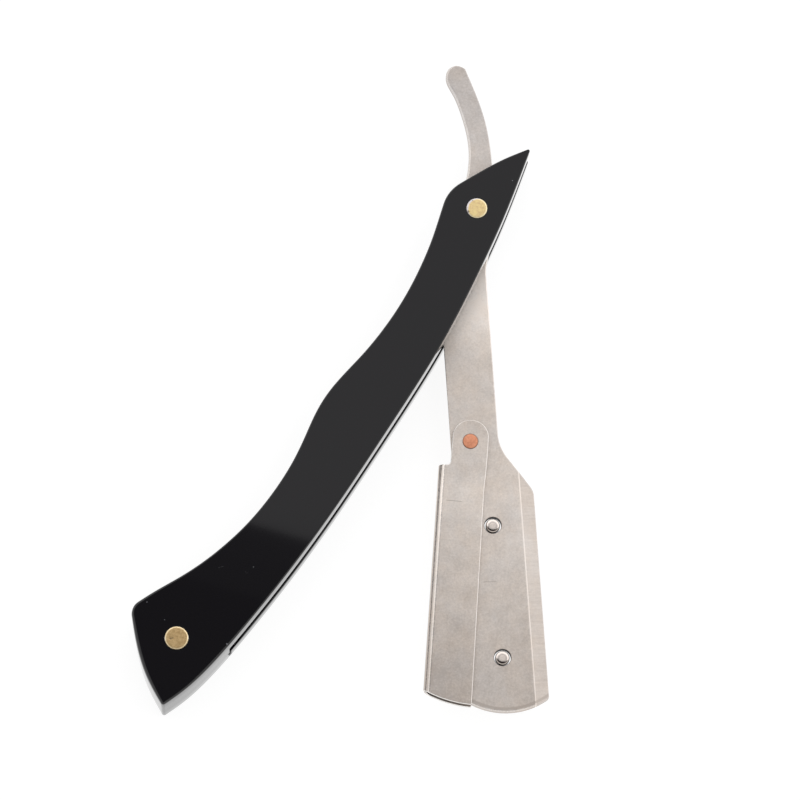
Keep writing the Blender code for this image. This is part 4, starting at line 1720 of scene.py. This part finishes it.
    def plate(self) -> Surface:
        """The plate from tail to seat.

        The outline gets a point wherever the face's own boundary crosses the grind line, and the line
        joins the two.

        Returns:
            The surface, in the arm's own plane.
        """
        outline = self.outline()
        boundary = outline - outward(outline) * (self.rim(outline).inset + SUPPORT)[:, None]
        outline, ends = crossed(outline, boundary[:, 0] - self.grind_line)
        bore = self.stud_radius + self.stud_clearance
        holes = [
            Hole((0.0, 0.0), self.pivot_bore, self.bevel),
            Hole(self.rivet, self.rivet_bore, self.bevel),
        ]
        # The stud holes get shade painted on their walls
        for along in self.stud_places:
            holes.append(Hole((self.stud_line, -along), bore, self.stud_seat_bevel, self.stud_painted_shade))
        plate = Plate(
            outline,
            *self.layers.faces(self.layers.arm),
            self.rim(outline),
            Rim.even(self.edge_round),
            tuple(holes),
            (tuple(ends.tolist()),),
            self.relief,
        )
        return plate.surface()

    def on_grind_line(self, points: np.ndarray) -> np.ndarray:
        """Points of the front face on the line where the ground strip begins."""
        on_face = points[:, 2] > self.layers.faces(self.layers.arm)[1] - SUPPORT
        return (np.abs(points[:, 0] - self.grind_line) < SUPPORT) & on_face

    def build_plate(self) -> None:
        """The one steel plate, with the ground strip, a line of painted shade at the foot, painted light
        and shade along it, and a scratch.
        """
        finish = Steel(
            "arm_steel_tumbled",
            self.place,
            scratches=self.scratches,
            ground_from=self.grind_line / MM,
            light_and_tone_fades=self.light_and_tone_fades,
            cool_run=self.cool_run,
            foot=self.foot_shade_line,
        )
        mesh = set_down(self.plate().mesh("arm_plate", self.on_grind_line), self.place)
        add_piece("arm_plate", mesh, finish, Body.ARM, "blade_arm")

    def build_studs(self) -> None:
        """Two studs, nearly flat on top: height falls as the root of one less the share's sixth power.

        Each was closed by hand, so its top leans a little: it falls in proportion to the distance up the
        arm, and the lean fades towards the rim with the ninth power of the share.
        """
        low, high = self.layers.faces(self.layers.arm)
        angles = np.linspace(0, math.pi / 2, STUD_STEPS + 1)
        shares = np.cbrt(np.sin(angles))
        radii = (self.stud_radius - self.stud_slack) * np.concatenate((shares, (1.0, 0.0)))
        head = high - self.stud_drop + (self.stud_rise + self.stud_drop) * np.cos(angles)
        heights = np.concatenate((head, (low, low)))
        # Shade painted down the stud's side and at the very rim of its top
        painted_shade = -np.concatenate((smoothstep(np.sin(angles), *self.stud_painted_shade_run), (1.0, 1.0)))
        names = (("stud_upper", "upper_blade_stud"), ("stud_lower", "lower_blade_stud"))
        for (name, node), along in zip(names, self.stud_places):
            centre = (self.stud_line + self.stud_shift[0], self.stud_shift[1] - along)
            rings = turned(radii, heights, HOLE_SIDES, centre)
            up_arm = rings[:-2, :, 1] - centre[1]
            rings[:-2, :, 2] -= self.stud_lean * up_arm * (1 - shares[:, None] ** 9)
            made = Surface()
            made.grid(rings, painted_shade)
            finish = StudSteel(name + "_steel", self.place.at(centre))
            add_piece(name, set_down(made.mesh(name), self.place), finish, Body.ARM, node)

    def build(self) -> None:
        """The plate and both studs."""
        self.build_plate()
        self.build_studs()


@dataclass
class Cover:
    """The folded steel cover and its copper rivet, in the cover's own plane about the rivet."""

    layers: Layers
    arm: Arm
    ajar_angle: float = math.radians(7.6)
    spine_room: float = 0.00202
    waist: float = 0.0035
    foot: float = 0.0038
    end_inset: float = 0.00158
    end_radius: float = 0.0240
    end_centre: float = 0.0042
    corner: float = 0.0003
    tab_radius: float = 0.00375
    tab_rise: float = 0.0009
    tab_foot: float = 0.0052
    tab_fillet: float = 0.0008
    neck_drop: float = 0.0001
    rivet_radius: float = 0.00160
    rivet_seat: float = 0.00003
    rivet_dome: float = 0.00003
    rivet_shares: tuple[float, ...] = (0.0, 0.15, 0.3, 0.45, 0.6, 0.72, 0.82, 0.9, 0.95, 0.98, 1.0)
    rim: float = 0.00016
    # Shade painted inside the fold, on the sheet's inner face
    inner_painted_shade: float = 0.8
    scratches: tuple[Stroke, ...] = (((-4.23, -12.96), (-0.71, -13.03), 0.10),)
    # Painted shade along the cover: darker at the top by the rivet and more so towards the lower edge
    light_and_tone_fades: tuple[Fade, ...] = (
        (-11.0, -6.0, -0.20), (-1.0, 4.0, -0.12), (-8.0, -30.0, -0.30), (-30.0, -54.0, -0.30),
    )

    @property
    def place(self) -> Place:
        """The rivet's place on the open arm, and the turn of arm and cover together."""
        return Place(self.arm.place.at(self.arm.rivet).origin, self.arm.open_angle - self.ajar_angle)

    @property
    def bend_radius(self) -> float:
        """Outer radius of the fold."""
        return self.layers.cover / 2

    @property
    def bend_line(self) -> float:
        """Where the flat leaf meets the fold."""
        return self.bend_radius - self.arm.rivet_from_edge - self.spine_room

    @property
    def half_bend(self) -> float:
        """Length of a quarter turn of the fold on its outer side."""
        return self.bend_radius * math.pi / 2

    def lower_edge(self, x: np.ndarray) -> np.ndarray:
        """Height of the round lower edge at a place across the cover: the circle's lower half."""
        length = self.arm.seat_length + self.arm.rivet[1] - self.end_inset
        return self.end_radius - length - np.sqrt(self.end_radius ** 2 - (x - self.end_centre) ** 2)

    def leaf(self) -> np.ndarray:
        """Edge of one leaf.

        Returns:
            The edge from the top of the fold over the tab and down the right side to the fold's foot.
        """
        lower_x = np.linspace(self.foot, self.bend_line, ARC_STEPS)
        lower = np.column_stack((lower_x, self.lower_edge(lower_x)))
        tab = arc((0.0, self.tab_rise), self.tab_radius, math.pi, 0.0, ARC_STEPS)
        neck = np.array([-self.tab_radius, -self.tab_foot])
        shoulder = np.array([self.bend_line, -self.tab_foot - self.neck_drop])
        waist = [tab[-1], (self.tab_radius, -self.tab_foot / 2), (self.waist, -self.tab_foot * 2)]
        waist = smooth_run(np.array(waist))
        runs = [
            np.array([lower[-1], shoulder]),
            np.array([shoulder, neck]),
            np.array([neck, tab[0]]),
            tab,
            waist,
            np.array([waist[-1], lower[0]]),
            lower,
        ]
        loop = rounded_loop(runs, (0, self.tab_fillet, 0, 0, 0, self.corner, 0))[::-1]
        start = np.argmin(np.linalg.norm(loop - shoulder, axis=1))
        return np.roll(loop, -start, axis=0)

    def blank(self) -> tuple[np.ndarray, Pairs]:
        """Outline of the flat blank: both leaves and the fold between them, unrolled.

        Across the blank u runs from the spine: on a leaf u is x less the bend line plus the quarter turn,
        and on the fold x is the bend line less the radius times cos(u / radius).

        Returns:
            The outline, and the lines across the fold that keep its strips straight.
        """
        leaf = self.leaf() - (self.bend_line - self.half_bend, 0.0)
        turn = np.linspace(math.pi / 2, -math.pi / 2, BEND_STEPS + 1)[1:-1]
        u = turn * self.bend_radius
        foot = np.column_stack((u, self.lower_edge(self.bend_line - self.bend_radius * np.cos(turn))))
        head = np.column_stack((-u, np.full(len(u), leaf[0, 1])))
        loop = np.vstack((leaf, foot, leaf[::-1] * (-1, 1), head))
        last = len(loop) - 1
        feet = last - (len(leaf) - 1 + np.arange(BEND_STEPS + 1))
        heads = last - (len(loop) - np.arange(BEND_STEPS + 1)) % len(loop)
        return loop[::-1], tuple(zip(feet.tolist(), heads.tolist()))

    def roll(self, points: np.ndarray) -> np.ndarray:
        """Rolls the blank round its spine.

        With a = u / radius held within a quarter turn, a point at depth z under the outer face goes to
        x = bend line - (radius + z) cos a plus what is left of u, and to a height of (radius + z) sin a.

        Args:
            points: Points of the flat sheet, as rows of u, y and z.

        Returns:
            The points on the folded sheet.
        """
        u, y, z = points.T
        turn = np.clip(u / self.bend_radius, -math.pi / 2, math.pi / 2)
        left = np.abs(u) - np.abs(turn) * self.bend_radius
        radius = self.bend_radius + z
        x = self.bend_line - radius * np.cos(turn) + left
        return np.column_stack((x, y, self.layers.middle + radius * np.sin(turn)))

    def build_sheet(self) -> None:
        """The folded sheet, with painted shade inside."""
        outline, lines = self.blank()
        edge = Rim.even(self.rim)
        over = self.half_bend - self.bend_line
        seat = self.rivet_radius + self.rivet_seat
        holes = tuple(Hole((u, 0.0), seat, self.rim / 3) for u in (over, -over))
        plate = Plate(
            outline,
            -self.layers.sheet,
            0.0,
            edge,
            edge,
            holes,
            lines,
            bend=self.roll,
            painted_shade=self.inner_painted_shade,
        )
        finish = Steel(
            "cover_steel_tumbled",
            self.place,
            scratches=self.scratches,
            bend_from=self.bend_line / MM,
            tone=0.66,
            light_and_tone_fades=self.light_and_tone_fades,
            # The cover's edges take the full rubbed colour: wear and a painted highlight along them
            edge_highlight_and_wear=1.0,
        )
        mesh = set_down(plate.surface().mesh("cover_sheet"), self.place)
        add_piece("cover_sheet", mesh, finish, Body.COVER, "swing_cover")

    def build_rivet(self) -> None:
        """The rivet, filed flush with both leaves, its ends a little domed."""
        faces = self.layers.faces(self.layers.cover)
        bar = Bar(self.rivet_radius, *faces, self.rivet_dome, self.rivet_dome, self.rivet_shares)
        made = Surface()
        made.grid(bar.rings(RIVET_SIDES))
        finish = PinMetal(
            "rivet_copper_filed",
            self.place,
            bright=(0.90, 0.42, 0.26),
            dull=(0.66, 0.26, 0.15),
            rim=(0.26, 0.15, 0.11),
            radius=self.rivet_radius / MM,
            rim_shares=(0.88, 0.98),
            tone=0.5,
            tarnish=2.42,
        )
        mesh = set_down(made.mesh("rivet_cover"), self.place)
        add_piece("rivet_cover", mesh, finish, Body.COVER, "cover_rivet")

    def build(self) -> None:
        """The sheet and the rivet."""
        self.build_sheet()
        self.build_rivet()


# The studio

@dataclass(frozen=True)
class Panel:
    """A soft light: a level rectangle that shines down."""

    name: str
    centre: Triple
    size: Flat
    radiance: float
    turn: float = 0.0

    def build(self) -> None:
        """Adds the light; its power is pi times its radiance times its area."""
        light = bpy.data.lights.new(self.name, "AREA")
        light.shape = "RECTANGLE"
        light.size, light.size_y = self.size
        light.energy = math.pi * self.radiance * self.size[0] * self.size[1]
        lamp = linked(self.name, light)
        lamp.matrix_world = Matrix.Translation(self.centre) @ Matrix.Rotation(self.turn, 4, "Z")
        lamp.visible_camera = False


@dataclass
class Studio:
    """The camera, a white floor, a white surround that is dark overhead, and the lights."""

    target: Triple = (0.00831, -0.04103, 0.0)
    distance: float = 0.97591
    azimuth: float = math.radians(27.695)
    elevation: float = math.radians(73.721)
    roll: float = math.radians(6.129)
    lens: float = 210.0
    floor_size: float = 8.0
    floor_drop: float = 0.0001
    overhead: float = 0.085
    dark_pole: Triple = (-0.02, 0.03, 0.9993)
    dark_reach: Flat = (math.radians(21.0), math.radians(33.0))
    glow: float = 0.88
    paper: float = 0.18
    bounce: float = 0.90
    box_centre: Triple = (-0.3445, 0.8025, 1.0)
    box_turn: float = math.radians(17.4)
    box_length: float = 2.4
    box_layers: tuple[tuple[str, float, float], ...] = (
        ("soft_box", 1.40, 0.58), ("soft_box_halo", 1.43, 0.05), ("soft_box_haze", 1.46, 0.04),
    )
    side_box: Panel = Panel("side_box", (0.42, 0.22, 1.0), (0.34, 0.5), 1.0)

    def build_camera(self) -> None:
        """The camera stands off the target along its own back axis, then rolls about it."""
        a, e = self.azimuth, self.elevation
        back = Vector((math.sin(a) * math.cos(e), -math.cos(a) * math.cos(e), math.sin(e)))
        level = Vector((0.0, 0.0, 1.0)).cross(back).normalized()
        rise = back.cross(level)
        right = level * math.cos(self.roll) + rise * math.sin(self.roll)
        up = back.cross(right)
        data = bpy.data.cameras.new("camera")
        data.lens = self.lens
        camera = linked("camera", data)
        turn = Matrix((right, up, back)).transposed().to_4x4()
        camera.matrix_world = Matrix.Translation(Vector(self.target) + back * self.distance) @ turn
        bpy.context.scene.camera = camera

    def build_floor(self) -> None:
        """A white floor that shows as lit paper to the camera and still takes the shadow."""
        half = self.floor_size / 2
        corners = [(-half, -half), (half, -half), (half, half), (-half, half)]
        mesh = bpy.data.meshes.new("floor")
        mesh.from_pydata([(x, y, -self.floor_drop) for x, y in corners], [], [(0, 1, 2, 3)])
        material, graph = new_material("white_paper")
        diffuse, emission = "ShaderNodeBsdfDiffuse", "ShaderNodeEmission"
        bounce, paper, glow = (
            graph.node(kind, {}, {"Color": (value, value, value, 1.0)})
            for kind, value in ((diffuse, self.bounce), (diffuse, self.paper), (emission, self.glow))
        )
        lit = graph.node("ShaderNodeAddShader", {}, {0: paper, 1: glow})
        shown = graph.node("ShaderNodeMixShader", {}, {0: self.seen(graph), 1: bounce, 2: lit})
        graph.node("ShaderNodeOutputMaterial", {}, {"Surface": shown})
        mesh.materials.append(material)
        linked("floor", mesh)

    def seen(self, graph: Graph) -> Wire:
        """1 for rays from the camera and for reflected and transmitted ones.

        Args:
            graph: The graph to add to.

        Returns:
            The greatest of the three.
        """
        rays = ("Is Camera Ray", "Is Glossy Ray", "Is Transmission Ray")
        camera, glossy, transmission = (graph.node("ShaderNodeLightPath", output=ray) for ray in rays)
        return camera.most(glossy).most(transmission)

    def build_surround(self) -> None:
        """A white world with a dark patch overhead, and plain white to the camera."""
        world = bpy.data.worlds.new("surround")
        bpy.context.scene.world = world
        world.use_nodes = True
        graph = Graph(world.node_tree)
        values = {0: graph.node("ShaderNodeTexCoord", output="Generated"), 1: self.dark_pole}
        facing = graph.node("ShaderNodeVectorMath", {"operation": "DOT_PRODUCT"}, values, "Value")
        inner, outer = (math.cos(angle) for angle in self.dark_reach)
        light = 1.0 - facing.between(outer, inner) * (1.0 - self.overhead)
        strength = graph.node("ShaderNodeLightPath", output="Is Camera Ray").most(light)
        values = {"Color": (1.0, 1.0, 1.0, 1.0), "Strength": strength}
        background = graph.node("ShaderNodeBackground", {}, values)
        graph.node("ShaderNodeOutputWorld", {}, {"Surface": background})

    def build(self) -> None:
        """Camera, floor, surround and lights; the soft box is three sheets, each wider and weaker."""
        self.build_camera()
        self.build_floor()
        self.build_surround()
        for name, width, radiance in self.box_layers:
            Panel(name, self.box_centre, (self.box_length, width), radiance, self.box_turn).build()
        self.side_box.build()
        bpy.context.scene.view_settings.view_transform = "Standard"


def main() -> None:
    """Builds the handle, the arm and the cover, then the studio round them."""
    logging.basicConfig(level=logging.INFO, format="%(name)s: %(message)s")
    layers = Layers()
    arm = Arm(layers)
    handle = Handle(layers, front_of_wedge=arm.seat_length + WEDGE_ROOM)
    cover = Cover(layers, arm)
    for assembly in (handle, arm, cover, Studio()):
        assembly.build()


if __name__ == "__main__":
    main()
